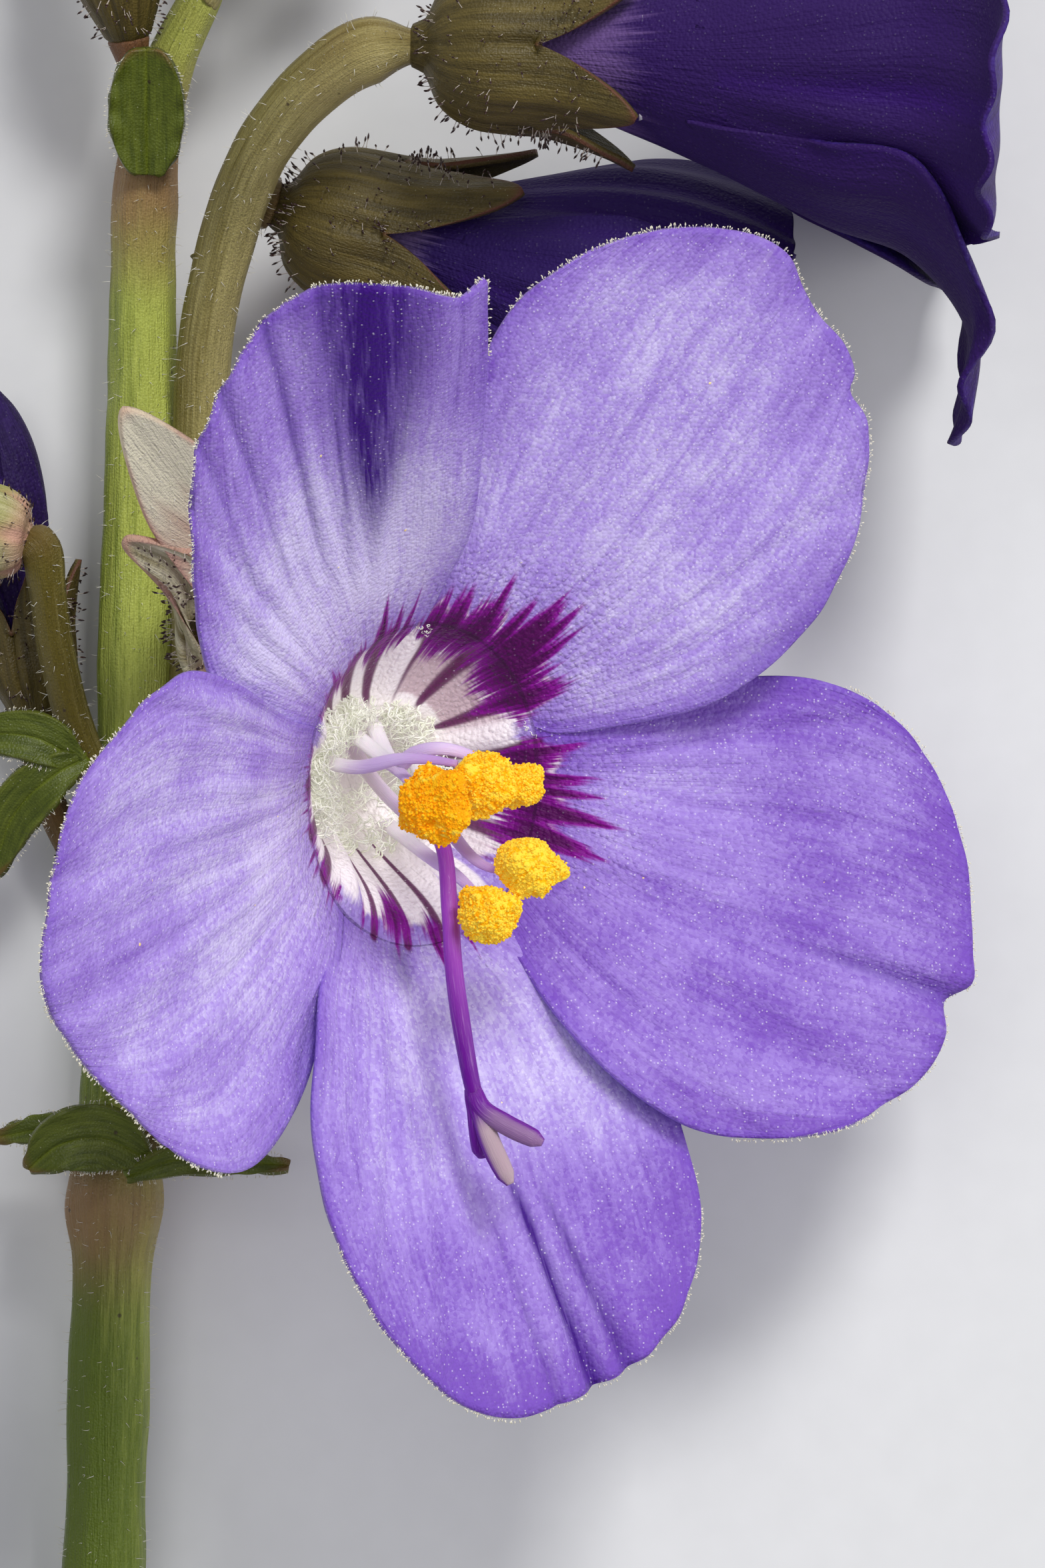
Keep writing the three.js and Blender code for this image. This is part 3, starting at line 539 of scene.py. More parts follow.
class SharedEffects:
    """Node groups that several finishes use, each built once."""

    made: dict[str, bpy.types.NodeTree] = {}

    @classmethod
    def group(cls, name: str) -> bpy.types.NodeTree:
        """Node group by name: cells or streaks."""
        if name not in cls.made:
            cls.made[name] = {"cells": cls.cells, "streaks": cls.streaks}[name]()
        return cls.made[name]

    @staticmethod
    def start(name: str, vectors: tuple[str, ...],
              numbers: dict[str, float]) -> tuple[Shader, dict[str, Socket]]:
        """Start a node group.

        Args:
            name: name of the group.
            vectors: names of the inputs that are vectors.
            numbers: first values of the inputs that are numbers, by name.

        Returns:
            The helper and the sockets of the inputs.
        """
        tree = bpy.data.node_groups.new(name, "ShaderNodeTree")
        for key in vectors:
            tree.interface.new_socket(name=key, in_out="INPUT", socket_type="NodeSocketVector")
        for key, value in numbers.items():
            made = tree.interface.new_socket(name=key, in_out="INPUT", socket_type="NodeSocketFloat")
            made.default_value = value
        return Shader(tree), tree.nodes.new("NodeGroupInput").outputs

    @staticmethod
    def end(shader: Shader, outputs: dict[str, Socket]) -> bpy.types.NodeTree:
        """Give a group its outputs, by name, and return it."""
        for key in outputs:
            shader.tree.interface.new_socket(name=key, in_out="OUTPUT", socket_type="NodeSocketFloat")
        shader.set(shader.tree.nodes.new("NodeGroupOutput"), outputs)
        return shader.tree

    @classmethod
    def cells(cls) -> bpy.types.NodeTree:
        """Small domed cells: distance to the nearest cell's middle, and few cells marked for painted glints.
        """
        shader, given = cls.start("skin_cells", (), {"Cells": 12.0, "Glints": 0.1})
        found = shader.cell_noise(shader.times(given["Cells"], PER_METRE))
        drawn = shader.node("SeparateColor", {"Color": found["Color"]}).outputs
        # A few cells drawn at random carry painted glints, strongest at their middles.
        lit = shader.math("GREATER_THAN", drawn["Red"], shader.math("SUBTRACT", 1.0, given["Glints"]))
        painted_glint = shader.times(lit, shader.ease(found["Distance"], 0.34, 0.08))
        height = shader.math("SUBTRACT", 1.0, found["Distance"])
        return cls.end(shader, {"Height": height, "PaintedGlint": painted_glint, "Tone": drawn["Green"]})

    @classmethod
    def streaks(cls) -> bpy.types.NodeTree:
        """Streaks that run with the growth: noise on coordinates stretched along the second one."""
        shader, given = cls.start("growth_streaks", ("Lay",), {"Broad": 1.0, "Fine": 5.0})
        broad = shader.stretched_noise(given["Lay"], (1.0, 0.14, 1.0), given["Broad"], 3.0, 0.55)
        fine = shader.stretched_noise(given["Lay"], (1.0, 0.09, 1.0), given["Fine"], 3.0, 0.6)
        patch = shader.noise(shader.place(), 0.28 * PER_METRE, 3.0, 0.55)
        return cls.end(shader, {"Broad": broad, "Fine": fine, "Patch": patch})


@dataclass(frozen=True)
class PetalFinish:
    """Petal skin: violet, pale middle, streaks, painted glints on cells, and the flame and throat marks."""

    name: str
    pale: Colour
    middle: Colour
    rich: Colour
    edge: Colour
    back: Colour
    rough: float = 0.5
    sheen: float = 0.06
    # sparkle sets how strong the painted glints are.
    sparkle: float = 0.5
    # How strong the throat's painted glow is.
    painted_glow: float = 0.08
    flame: Colour = srgb(82, 0, 82)
    flame_edge: Colour = srgb(140, 6, 150)
    throat: Colour = srgb(252, 244, 246)
    beige: Colour = srgb(196, 164, 174)
    vein: Colour = srgb(98, 8, 84)
    # Painted shade, with some deeper violet, in folds and creases.
    deep: Colour = srgb(62, 14, 128)
    # Near-white of the painted glints.
    painted_glint: Colour = srgb(250, 244, 255)

    def material(self) -> bpy.types.Material:
        """Material: streaks and cells pick the violet, then margin, painted fold shade, throat and flame."""
        coat = Coat(self.name)
        streaks = coat.effect("streaks", Lay=coat.layer("lay", vector=True), Broad=1.1, Fine=5.5)
        cells = coat.effect("cells", Cells=10.5, Glints=0.24)
        domes = coat.effect("cells", Cells=6.5)
        mark = coat.layer("mark")
        tone = coat.total(-1.62, (streaks["Broad"], 0.8), (streaks["Patch"], 1.3), (streaks["Fine"], 0.8),
                          (coat.layer("body"), 1.0), (cells["Tone"], 0.34))
        colour = coat.blend(coat.ease(tone, -0.85, 0.15), self.rich, self.middle)
        colour = coat.blend(coat.ease(tone, -0.1, 0.8), colour, self.pale)
        colour = coat.blend(coat.ease(streaks["Fine"], 0.55, 0.8, 0.0, 0.25), colour, self.edge)
        colour = coat.blend(coat.ease(coat.layer("margin"), 0.6, 0.0, 0.0, 0.3), colour, self.edge)
        colour = coat.blend(coat.ease(coat.layer("side"), 0.6, 0.4), colour, self.back)
        # Painted shade with some deeper violet in the folds and creases.
        fold = coat.times(coat.layer("deep"), coat.ease(streaks["Fine"], 0.3, 0.65, 0.6, 1.0))
        colour = self.throat_marks(coat, coat.blend(fold, colour, self.deep))
        # Painted glints: a few cells turn near white in the base colour, fainter on the flame.
        painted_glint = coat.times(cells["PaintedGlint"], coat.ease(mark, 0.1, -0.3, 0.2 * self.sparkle, self.sparkle))
        bare = coat.times(coat.ease(mark, 0.0, -0.3), coat.math("SUBTRACT", 1.0, coat.layer("vein")))
        # Painted glow: the white throat, bare of flame and veins, gives off a little light of its own.
        lit = coat.times(coat.ease(coat.layer("throat"), 0.2, 0.8), bare)
        normal = coat.bump(streaks["Fine"], 0.075, 0.7)
        normal = coat.bump(coat.times(domes["Height"], coat.ease(mark, -2.4, -0.5)), 0.06, 0.8, normal)
        return coat.wear({
            "Base Color": coat.blend(painted_glint, colour, self.painted_glint),
            "Emission Color": coat.blend(lit, (0.0, 0.0, 0.0), self.throat), "Emission Strength": self.painted_glow,
            "Roughness": coat.ease(painted_glint, 0.0, 0.6, self.rough, 0.2), "Specular IOR Level": 0.18,
            "Sheen Weight": self.sheen, "Sheen Roughness": 0.5, "Sheen Tint": (0.85, 0.8, 1.0, 1.0),
            "Normal": coat.bump(cells["Height"], 0.034, 0.7, normal)})

    def throat_marks(self, coat: Coat, colour: Socket) -> Socket:
        """Lay the white throat, its beige patches, its veins and the purple flame over a colour.

        All edges are drawn out along the rays by long narrow streaks, so the flame ends in brush strokes.

        Args:
            coat: the material.
            colour: the colour so far.

        Returns:
            The colour with the marks.
        """
        ray = coat.layer("ray", vector=True)
        broad = coat.stretched_noise(ray, (2.6, 0.14, 1.0), 1.0, 2.0, 0.5)
        narrow = coat.stretched_noise(ray, (9.0, 0.3, 1.0), 1.0, 3.0, 0.6)
        ragged = coat.total(-2.2, (broad, 2.4), (narrow, 2.0))
        throat = coat.total(coat.layer("throat"), (ragged, 0.4))
        colour = coat.blend(coat.ease(throat, 0.2, 0.8), colour, self.throat)
        beige = coat.total(coat.layer("beige"), (ragged, 0.25))
        colour = coat.blend(coat.ease(beige, 0.2, 0.9, 0.0, 0.85), colour, self.beige)
        colour = coat.blend(coat.ease(coat.layer("vein"), 0.05, 0.6, 0.0, 0.95), colour, self.vein)
        flame = coat.total(coat.layer("mark"), (ragged, 0.85))
        purple = coat.blend(coat.ease(flame, 0.05, 0.8), self.flame_edge, self.flame)
        purple = coat.blend(coat.ease(narrow, 0.55, 0.8, 0.0, 0.4), purple, self.flame_edge)
        return coat.blend(coat.ease(flame, -0.28, 0.22), colour, purple)


@dataclass(frozen=True)
class GreenFinish:
    """Skin of stem, sepal or leaf: green with light and dark tones, a blush, and dark glands."""

    name: str
    light: Colour
    dark: Colour
    blush: Colour
    back: Colour
    rough: float = 0.45
    glands: float = 0.2
    behind: float = 0.7
    relief: float = 0.12
    gland: Colour = srgb(58, 40, 28)
    painted_glint: Colour = srgb(238, 240, 205)

    def material(self) -> bpy.types.Material:
        """Material: streaks along the growth mix the greens; blush, back, glands and painted glints follow.
        """
        coat = Coat(self.name)
        streaks = coat.effect("streaks", Lay=coat.layer("lay", vector=True), Broad=2.2, Fine=9.0)
        cells = coat.effect("cells", Cells=16.0, Glints=0.03)
        tone = coat.total(-0.6, (streaks["Broad"], 0.7), (streaks["Fine"], 0.5), (coat.layer("body"), 1.0))
        colour = coat.blend(coat.ease(tone, -0.3, 0.5), self.dark, self.light)
        blush = coat.total(coat.layer("blush"), (streaks["Patch"], 0.5))
        colour = coat.blend(coat.ease(blush, 0.35, 1.15, 0.0, 0.9), colour, self.blush)
        colour = coat.blend(coat.ease(coat.layer("side"), 0.6, 0.4, 0.0, self.behind), colour, self.back)
        dots = coat.cell_noise(2.2 * PER_METRE)
        drawn = coat.node("SeparateColor", {"Color": dots["Color"]}).outputs
        spot = coat.times(coat.ease(dots["Distance"], 0.16, 0.09, 0.0, 0.75),
                          coat.math("LESS_THAN", drawn["Red"], self.glands))
        colour = coat.blend(spot, colour, self.gland)
        coarse = coat.bump(streaks["Fine"], self.relief, 0.7)
        # The base colour takes painted glints on a few cells.
        return coat.wear({
            "Base Color": coat.blend(coat.times(cells["PaintedGlint"], 0.35), colour, self.painted_glint),
            "Roughness": coat.ease(streaks["Patch"], 0.3, 0.7, self.rough - 0.08, self.rough + 0.1),
            "Specular IOR Level": 0.35, "Normal": coat.bump(cells["Height"], 0.02, 0.8, coarse)})


@dataclass(frozen=True)
class HairFinish:
    """Hair: pale or clear along its length, with the colour of its head, and a painted glow."""

    name: str
    stalk: Colour
    head: Colour
    shade: Colour = srgb(205, 196, 190)
    painted_glow: float = 0.0

    def material(self) -> bpy.types.Material:
        """Material: stalk colour up to the head, which starts past the middle."""
        coat = Coat(self.name)
        shade = coat.noise(coat.place(), 0.8 * PER_METRE)
        stalk = coat.blend(coat.ease(shade, 0.35, 0.75, 0.0, 0.4), self.stalk, self.shade)
        colour = coat.blend(coat.ease(coat.layer("share"), 0.55, 0.7), stalk, self.head)
        # Painted glow: the hair gives off a little light in its own colour.
        return coat.wear({"Base Color": colour, "Emission Color": colour, "Emission Strength": self.painted_glow,
                          "Roughness": coat.ease(shade, 0.3, 0.7, 0.3, 0.45)})


@dataclass(frozen=True)
class PollenFinish:
    """Pollen: orange-yellow grains, with painted shade between them, painted highlight on top, and tones at
    random.
    """

    name: str = "pollen_grains"
    bright: Colour = srgb(255, 218, 66)
    body: Colour = srgb(255, 188, 14)
    hollow: Colour = srgb(252, 166, 2)
    painted_glint: Colour = srgb(255, 224, 120)
    painted_glow: float = 0.12

    def material(self) -> bpy.types.Material:
        """Material: the grain layer picks hollow, body and bright tones."""
        coat = Coat(self.name)
        cells = coat.effect("cells", Cells=18.0, Glints=0.1)
        patch = coat.noise(coat.place(), 1.6 * PER_METRE, 3.0)
        # On a sac the grain layer is height: hollow is painted shade, bright painted highlight.
        grain = coat.total(coat.layer("grain"), (patch, 0.5))
        colour = coat.blend(coat.ease(grain, 0.2, 0.55), self.hollow, self.body)
        colour = coat.blend(coat.ease(grain, 0.6, 1.2), colour, self.bright)
        # Painted glints on a few cells, and a painted glow in the pollen's own colour.
        colour = coat.blend(coat.times(cells["PaintedGlint"], 0.4), colour, self.painted_glint)
        return coat.wear({"Base Color": colour, "Emission Color": colour, "Emission Strength": self.painted_glow,
                          "Roughness": coat.ease(patch, 0.3, 0.7, 0.6, 0.8), "Specular IOR Level": 0.15,
                          "Normal": coat.bump(cells["Height"], 0.03)})


@dataclass(frozen=True)
class StyleFinish:
    """Skin of style and filaments: pale at the root and violet upwards, with fine lines along it."""

    name: str
    root: Colour
    middle: Colour
    high: Colour
    inner: Colour
    lines: Colour = srgb(222, 180, 232)

    def material(self) -> bpy.types.Material:
        """Material: the share layer picks root, middle or high, the inner layer the inner faces."""
        coat = Coat(self.name)
        streaks = coat.effect("streaks", Lay=coat.layer("lay", vector=True), Broad=4.0, Fine=12.0)
        share = coat.layer("share")
        colour = coat.blend(coat.ease(share, 0.42, 0.64), self.root, self.middle)
        colour = coat.blend(coat.ease(share, 0.72, 0.96), colour, self.high)
        colour = coat.blend(coat.ease(streaks["Fine"], 0.5, 0.8, 0.0, 0.3), colour, self.lines)
        return coat.wear({
            "Base Color": coat.blend(coat.layer("inner"), colour, self.inner),
            "Roughness": coat.ease(streaks["Broad"], 0.3, 0.7, 0.32, 0.44), "Coat Weight": 0.06,
            "Specular IOR Level": 0.28, "Subsurface Weight": 0.2, "Subsurface Radius": (0.6, 0.3, 0.8),
            "Subsurface Scale": 0.3 * METRE, "Normal": coat.bump(streaks["Fine"], 0.04, 0.5)})


class Palette:
    """Finishes of the spray, each built as a material on first use."""

    finishes = (
        PetalFinish("open_petal", pale=srgb(219, 209, 246), middle=srgb(170, 143, 222),
                    rich=srgb(124, 82, 188), edge=srgb(108, 60, 188), back=srgb(150, 120, 206)),
        # Bell and half-open petals: darker violet, partly their own and partly painted shade away from the
        # light.
        PetalFinish("bell_petal", pale=srgb(84, 62, 158), middle=srgb(48, 20, 86), rich=srgb(30, 8, 56),
                    edge=srgb(46, 16, 112), back=srgb(52, 26, 94), throat=srgb(112, 84, 144),
                    rough=0.6, sheen=0.02, sparkle=0.06, painted_glow=0.0),
        PetalFinish("young_petal", pale=srgb(66, 42, 122), middle=srgb(46, 24, 90), rich=srgb(32, 12, 66),
                    edge=srgb(34, 12, 84), back=srgb(48, 26, 94), throat=srgb(138, 114, 168),
                    rough=0.6, sheen=0.02, sparkle=0.06, painted_glow=0.0),
        PetalFinish("rolled_petal", pale=srgb(64, 40, 110), middle=srgb(40, 20, 76), rich=srgb(28, 10, 56),
                    edge=srgb(26, 10, 60), back=srgb(40, 22, 78), rough=0.55, sheen=0.02, sparkle=0.05,
                    painted_glow=0.0),
        GreenFinish("stem_skin", light=srgb(196, 206, 96), dark=srgb(96, 114, 22), blush=srgb(158, 116, 84),
                    back=srgb(122, 138, 44), rough=0.34, glands=0.16),
        GreenFinish("pedicel_skin", light=srgb(196, 184, 118), dark=srgb(112, 100, 36),
                    blush=srgb(132, 88, 60), back=srgb(142, 128, 56), rough=0.34, glands=0.16),
        GreenFinish("sepal_dark", light=srgb(120, 104, 48), dark=srgb(62, 52, 20), blush=srgb(104, 60, 44),
                    back=srgb(104, 98, 50), rough=0.46, glands=0.24, relief=0.06),
        GreenFinish("sepal_main", light=srgb(255, 250, 214), dark=srgb(128, 116, 66),
                    blush=srgb(206, 156, 138), back=srgb(150, 140, 88), rough=0.5, glands=0.08, behind=0.1),
        GreenFinish("leaf_skin", light=srgb(118, 130, 40), dark=srgb(64, 76, 12), blush=srgb(112, 80, 40),
                    back=srgb(96, 104, 40), rough=0.4, glands=0.08, relief=0.03),
        GreenFinish("bud_skin", light=srgb(252, 244, 200), dark=srgb(168, 166, 88), blush=srgb(232, 178, 156),
                    back=srgb(116, 126, 48), rough=0.46, glands=0.12),
        PollenFinish(),
        PollenFinish("loose_pollen", bright=srgb(252, 236, 180), body=srgb(244, 214, 140),
                     hollow=srgb(226, 180, 100)),
        StyleFinish("style_skin", root=srgb(232, 214, 234), middle=srgb(160, 66, 182), high=srgb(108, 4, 146),
                    inner=srgb(190, 166, 170)),
        StyleFinish("filament_skin", root=srgb(246, 238, 246), middle=srgb(226, 204, 234),
                    high=srgb(196, 156, 214), inner=srgb(240, 230, 240)),
        HairFinish("clear_hair", stalk=srgb(238, 236, 226), head=srgb(244, 238, 214)),
        HairFinish("dark_headed_hair", stalk=srgb(214, 200, 186), head=srgb(58, 34, 30)),
        HairFinish("throat_hair", stalk=srgb(252, 252, 240), head=srgb(250, 250, 236),
                   shade=srgb(188, 196, 146), painted_glow=0.13),
    )
    built: dict[str, bpy.types.Material] = {}

    @classmethod
    def get(cls, name: str) -> bpy.types.Material:
        """Material of a finish by name."""
        if name not in cls.built:
            cls.built[name] = next(finish for finish in cls.finishes if finish.name == name).material()
        return cls.built[name]


# Pollen, style and calyx, shared by all flowers


TALL = (1 + 5**0.5) / 2
BALL_CORNERS = unit(np.array([
    [-1, TALL, 0], [1, TALL, 0], [-1, -TALL, 0], [1, -TALL, 0], [0, -1, TALL], [0, 1, TALL],
    [0, -1, -TALL], [0, 1, -TALL], [TALL, 0, -1], [TALL, 0, 1], [-TALL, 0, -1], [-TALL, 0, 1]]))
BALL_FACES = np.array([
    [0, 11, 5], [0, 5, 1], [0, 1, 7], [0, 7, 10], [0, 10, 11], [1, 5, 9], [5, 11, 4], [11, 10, 2],
    [10, 7, 6], [7, 1, 8], [3, 9, 4], [3, 4, 2], [3, 2, 6], [3, 6, 8], [3, 8, 9], [4, 9, 5],
    [2, 4, 11], [6, 2, 10], [8, 6, 7], [9, 8, 1]])


def add_lumps(draft: Draft, middles: Points, sizes: Points, seed: int, shift: float = 0.0) -> None:
    """Add lumps: twenty-sided balls whose corners are pushed in and out at random.

    Args:
        draft: the mesh that takes them.
        middles: their middles.
        sizes: their radii.
        seed: seed of the corners.
        shift: how much paler they are than usual.
    """
    draw = np.random.default_rng(seed)
    count, corners = len(middles), len(BALL_CORNERS)
    reach = sizes[:, None, None] * draw.uniform(0.75, 1.25, (count, corners, 1))
    tone = np.repeat(draw.uniform(0.3, 1.0, count), corners) + shift
    draft.add(middles[:, None] + reach * BALL_CORNERS, [repeated(BALL_FACES, count, corners)],
              grain=tone, side=1.0)


@dataclass(frozen=True)
class Anther:
    """Pollen sac covered in grains: its middle, half axes and heading, its grains, and how pale it is."""

    at: Spot
    half: Spot
    heading: float = 0.0
    rows: int = 72
    sides: int = 96
    grains: int = 620
    grain: float = 0.085
    crumbs: int = 1500
    crumb: float = 0.036
    tone: float = 0.0
    lumps: int = 26
    lump_width: float = 0.36
    groove: Pair = (0.1, 0.16)
    pole: float = 0.03

    def build(self, name: str, node: str, seed: int) -> None:
        """Build the sac: a bean whose radius swells by the highest of many small balls on it, and crumbs.

        Args:
            name: name of the piece.
            node: node that it stands for.
            seed: seed of the grains.
        """
        draw = np.random.default_rng(seed)
        polar, angle = np.linspace(self.pole, np.pi - self.pole, self.rows)[:, None], turns(self.sides)
        way = stacked(np.sin(polar) * np.cos(angle), -np.cos(polar), -np.sin(polar) * np.sin(angle))
        flat = way.reshape(-1, 3)
        lumps = unit(draw.normal(size=(self.lumps, 3)))
        near = hill(np.linalg.norm(flat[:, None] - lumps[None], axis=-1), self.lump_width)
        lump = (near * draw.uniform(-0.3, 0.36, self.lumps)).sum(-1)
        middle = unit(draw.normal(size=(self.grains, 3)))
        size = self.grain * draw.uniform(0.7, 1.35, self.grains)
        gap = np.linalg.norm(flat[:, None] - middle[None], axis=-1)
        height = (np.sqrt(np.maximum(size**2 - gap**2, 0)) * draw.uniform(0.6, 1.3, self.grains)).max(axis=1)
        groove = -self.groove[0] * hill(flat[:, 0], self.groove[1]) * np.maximum(flat[:, 2], 0)
        x, y, z = (flat * (0.94 + lump + groove + 0.6 * height)[:, None] * np.asarray(self.half)).T
        turn = np.radians(self.heading)
        spun = stacked(x * np.cos(turn) - y * np.sin(turn), x * np.sin(turn) + y * np.cos(turn), z)
        placed = spun + np.asarray(self.at)
        # Grain height, which the pollen finish paints as shade in the hollows and highlight on the tops.
        grain = (height / self.grain).reshape(self.rows, self.sides) + self.tone
        draft = Draft(name)
        draft.add_tube(placed.reshape(self.rows, self.sides, 3), grain=grain)
        chance = np.sin(polar) * np.ones((1, self.sides))
        spot = placed[draw.choice(len(placed), self.crumbs, p=(chance / chance.sum()).ravel())]
        spot = spot + draw.normal(0, 0.02, spot.shape)
        add_lumps(draft, spot, self.crumb * draw.uniform(0.65, 1.35, self.crumbs), seed + 1, self.tone)
        draft.build("pollen_grains", Slot.POLLEN, node)


def add_strand(draft: Draft, path: Path, radius: Points, steps: int, sides: int, reference: Points,
               flat: float = 1.0, first: float = 0.0, last: float = 1.0,
               face: Pair = (0.0, 0.0)) -> None:
    """Add a round or flattened strand along a path.

    Args:
        draft: the mesh that takes it.
        path: its centre line.
        radius: radii at even shares, spread over the steps.
        steps: number of rings less one.
        sides: sides of each ring.
        reference: direction that the path never runs along.
        flat: height of the section over its width.
        first: value of the share layer at the root.
        last: value of the share layer at the tip.
        face: strength of the inner layer on the upper face, and how far it leans to the side.
    """
    share, angle = np.linspace(0, 1, steps + 1), turns(sides)
    radii = np.interp(share, np.linspace(0, 1, len(radius)), radius)
    lay = stacked(np.cos(angle) * radii[:, None] * 3, (share * path.length)[:, None],
                  np.sin(angle) * radii[:, None] * 3)
    inner = face[0] * smooth((np.sin(angle) + face[1] * np.cos(angle) - 0.1) / 0.6)
    inner = inner * smooth(share * 4 - 0.8)[:, None]
    draft.add_tube(tube_rings(path, share, angle, radii, reference, flat), lay=lay, inner=inner,
                   share=(first + (last - first) * share)[:, None])


@dataclass(frozen=True)
class Sepal:
    """One sepal: length past the cup, lean and turn in degrees, share of width kept, tone and fullness."""

    length: float
    spread: float
    sway: float = 0.0
    wide: float = 1.0
    tone: float = 0.0
    full: float = 1.5


@dataclass(frozen=True)
class Calyx:
    """Calyx: a cup on the pedicel whose rim rises into pointed sepals, z up from its foot.

    keel and furrow are (height, width), veins (place, width) in shares of half a sepal's width,
    bulge (heading, height), curl how far the sepals' margins bend in.
    """

    axes: Axes
    radius: float
    depth: float
    sepals: tuple[Sepal, ...]
    heading: float
    thin: float = 0.2
    wall: float = 0.3
    columns: int = 30
    cup_rows: int = 24
    tooth_rows: int = 30
    cup_tone: float = 0.0
    bulge: Pair = (0.0, 0.0)
    keel: Pair = (0.10, 0.22)
    furrow: Pair = (0.14, 0.16)
    curl: float = 0.16
    uneven: float = 0.03
    veins: tuple[Pair, ...] = ((0.36, 0.07), (0.0, 0.08), (0.68, 0.06))

    def surface(self, angle: Points, level: Points) -> tuple[Points, dict[str, Points]]:
        """Points at angles in radians and levels from -1 at the foot over 0 at the rim to 1 at the tips.

        The cup's radius follows a rounded profile from its foot, which reaches into the pedicel. Above
        the rim the height is the sepal's length times the tooth, one less the distance from its
        midline to a power, and the radius leans out with the tooth while the width is kept. A keel
        stands on each midline, a furrow runs between sepals, and the cup may bulge to one side.

        Args:
            angle: angles, broadcast against the levels.
            level: levels.

        Returns:
            The points and the layers.
        """
        angle, level = np.broadcast_arrays(angle, level)
        count = len(self.sepals)
        turn = angle / (2 * np.pi) * count
        nearest = np.rint(turn)
        off = np.abs(turn - nearest) * 2
        traits = np.array([(s.length, np.radians(s.spread), np.radians(s.sway), s.wide, s.tone, s.full)
                           for s in self.sepals])
        length, spread, sway, wide, tone, full = np.moveaxis(traits[nearest.astype(int) % count], -1, 0)
        profile = Path([(0.14, -0.5), (0.46, -0.44), (0.62, -0.12),
                        (0.72 * self.radius - 0.26, 0.12 * self.depth),
                        (0.94 * self.radius - self.wall, 0.42 * self.depth),
                        (self.radius - self.wall, self.depth)])
        cup = profile.at(np.clip(level + 1, 0, 1))
        tooth = np.clip(level, 0, 1) * (1 - off**full)
        reach = cup[..., 0] + length * np.sin(spread) * tooth**1.4
        height = cup[..., 1] + length * np.cos(spread) * tooth
        middle = nearest / count * 2 * np.pi
        width = cup[..., 0] / reach * (1 + (wide - 1) * np.clip(level, 0, 1))
        aim = middle + (angle - middle) * width + sway * np.sin(np.minimum(1.5 * tooth, 1) * np.pi / 2)
        body = smooth(level + 1)
        furrow = self.furrow[0] * hill(off - 1, self.furrow[1]) * smooth((0.2 - level) / 0.3)
        keel = self.keel[0] * hill(off, self.keel[1]) - furrow
        side = np.cos(angle + np.radians(self.heading - self.bulge[0]))
        swell = body * keel - self.curl * off**2 * smooth(tooth * 3)
        swell = swell + self.bulge[1] * np.maximum(side, 0) ** 2 * body * smooth(1 - level * 2)
        swell = swell + self.uneven * body * ripple(angle * 4 + height, int(self.radius * 100), 0.6, 2.4)
        lean = spread * smooth(level * 2)
        radius = reach + swell * np.cos(lean)
        height = height - swell * np.sin(lean)
        margin = np.minimum((1 - off) * self.radius * 0.6, (1 - level) * 2.2) + 5.0 * smooth(-level * 3)
        veins = sum(hill(off - place, thin) for place, thin in self.veins)
        lay = stacked(np.cos(angle) * self.radius * 1.6, height + reach, np.sin(angle) * self.radius * 1.6)
        foot = np.where(tone > 0.5, 0.8 * smooth((0.9 - tooth) / 0.5), 0.25 * smooth((level + 0.2) * 2))
        share = smooth((level + 0.25) * 2.5)
        layers = {"lay": lay, "body": self.cup_tone * (1 - share) + tone * share + 0.14 * veins,
                  "blush": 0.7 * np.exp(-margin / 0.1) + foot - 0.25 + 0.2 * veins}
        return self.axes.around(radius, aim + np.radians(self.heading), height), layers

    def build(self, name: str, finish: str, node: str, hairs: int, seed: int) -> None:
        """Build the sheet and its gland-headed hairs.

        Args:
            name: name of the piece; its hairs are named after it.
            finish: finish of the sheet.
            node: node that it stands for.
            hairs: number of hairs.
            seed: seed of their places.
        """
        draft = Draft(name)
        angle = turns(self.columns * len(self.sepals))[None, :]
        level = np.concatenate([np.linspace(-1, 0, self.cup_rows, endpoint=False),
                                np.linspace(0, 1, self.tooth_rows) ** 0.9])[:, None]
        points, layers = self.surface(angle, level)
        draft.add_sheet(points, self.thin, closed=True, **layers)
        draft.build(finish, Slot.CALYX, node)
        self.hairs(f"{name}_hairs", hairs, seed)

    def hairs(self, name: str, count: int, seed: int) -> None:
        """Build gland-headed hairs that stand out of the calyx, and clear ones on its pale sepals.

        Args:
            name: name of the piece.
            count: number of hairs.
            seed: seed of their places.
        """
        draw = np.random.default_rng(seed)
        angle = draw.uniform(0, 2 * np.pi, count)
        level = draw.uniform(-0.85, 0.95, count)
        step, folded = 0.02, 60
        points, _ = self.surface(angle, level)
        across, _ = self.surface(angle + step, level)
        along, _ = self.surface(angle, level + step)
        outward = unit(np.cross(across - points, along - points))
        number = np.rint(angle / (2 * np.pi) * len(self.sepals)).astype(int) % len(self.sepals)
        spread, tone = np.array([(s.spread, s.tone) for s in self.sepals])[number].T
        within = (spread > folded) & (level > 0.1) & (draw.uniform(0, 1, count) < 0.6)
        outward = np.where(within[:, None], -outward, outward)
        pale = (tone > 0.5) & (level > 0.05)
        roots = points + outward * self.thin * 0.4
        direction = outward + draw.normal(0, 0.25, (count, 3))
        lengths = draw.uniform(0.16, 0.42, count) * np.where(pale, 0.6, 1.0)
        kinds = ((name, ~pale, HEADED_HAIR, 0.017, "dark_headed_hair"),
                 (f"{name}_pale", pale, FINE_HAIR, 0.013, "clear_hair"))
        for place, (title, chosen, kind, radius, finish) in enumerate(kinds):
            if chosen.any():
                draft = Draft(title)
                kind.grow(draft, roots[chosen], direction[chosen], lengths[chosen], radius, seed + 1 + place)
                draft.build(finish, Slot.CALYX)


# Main flower


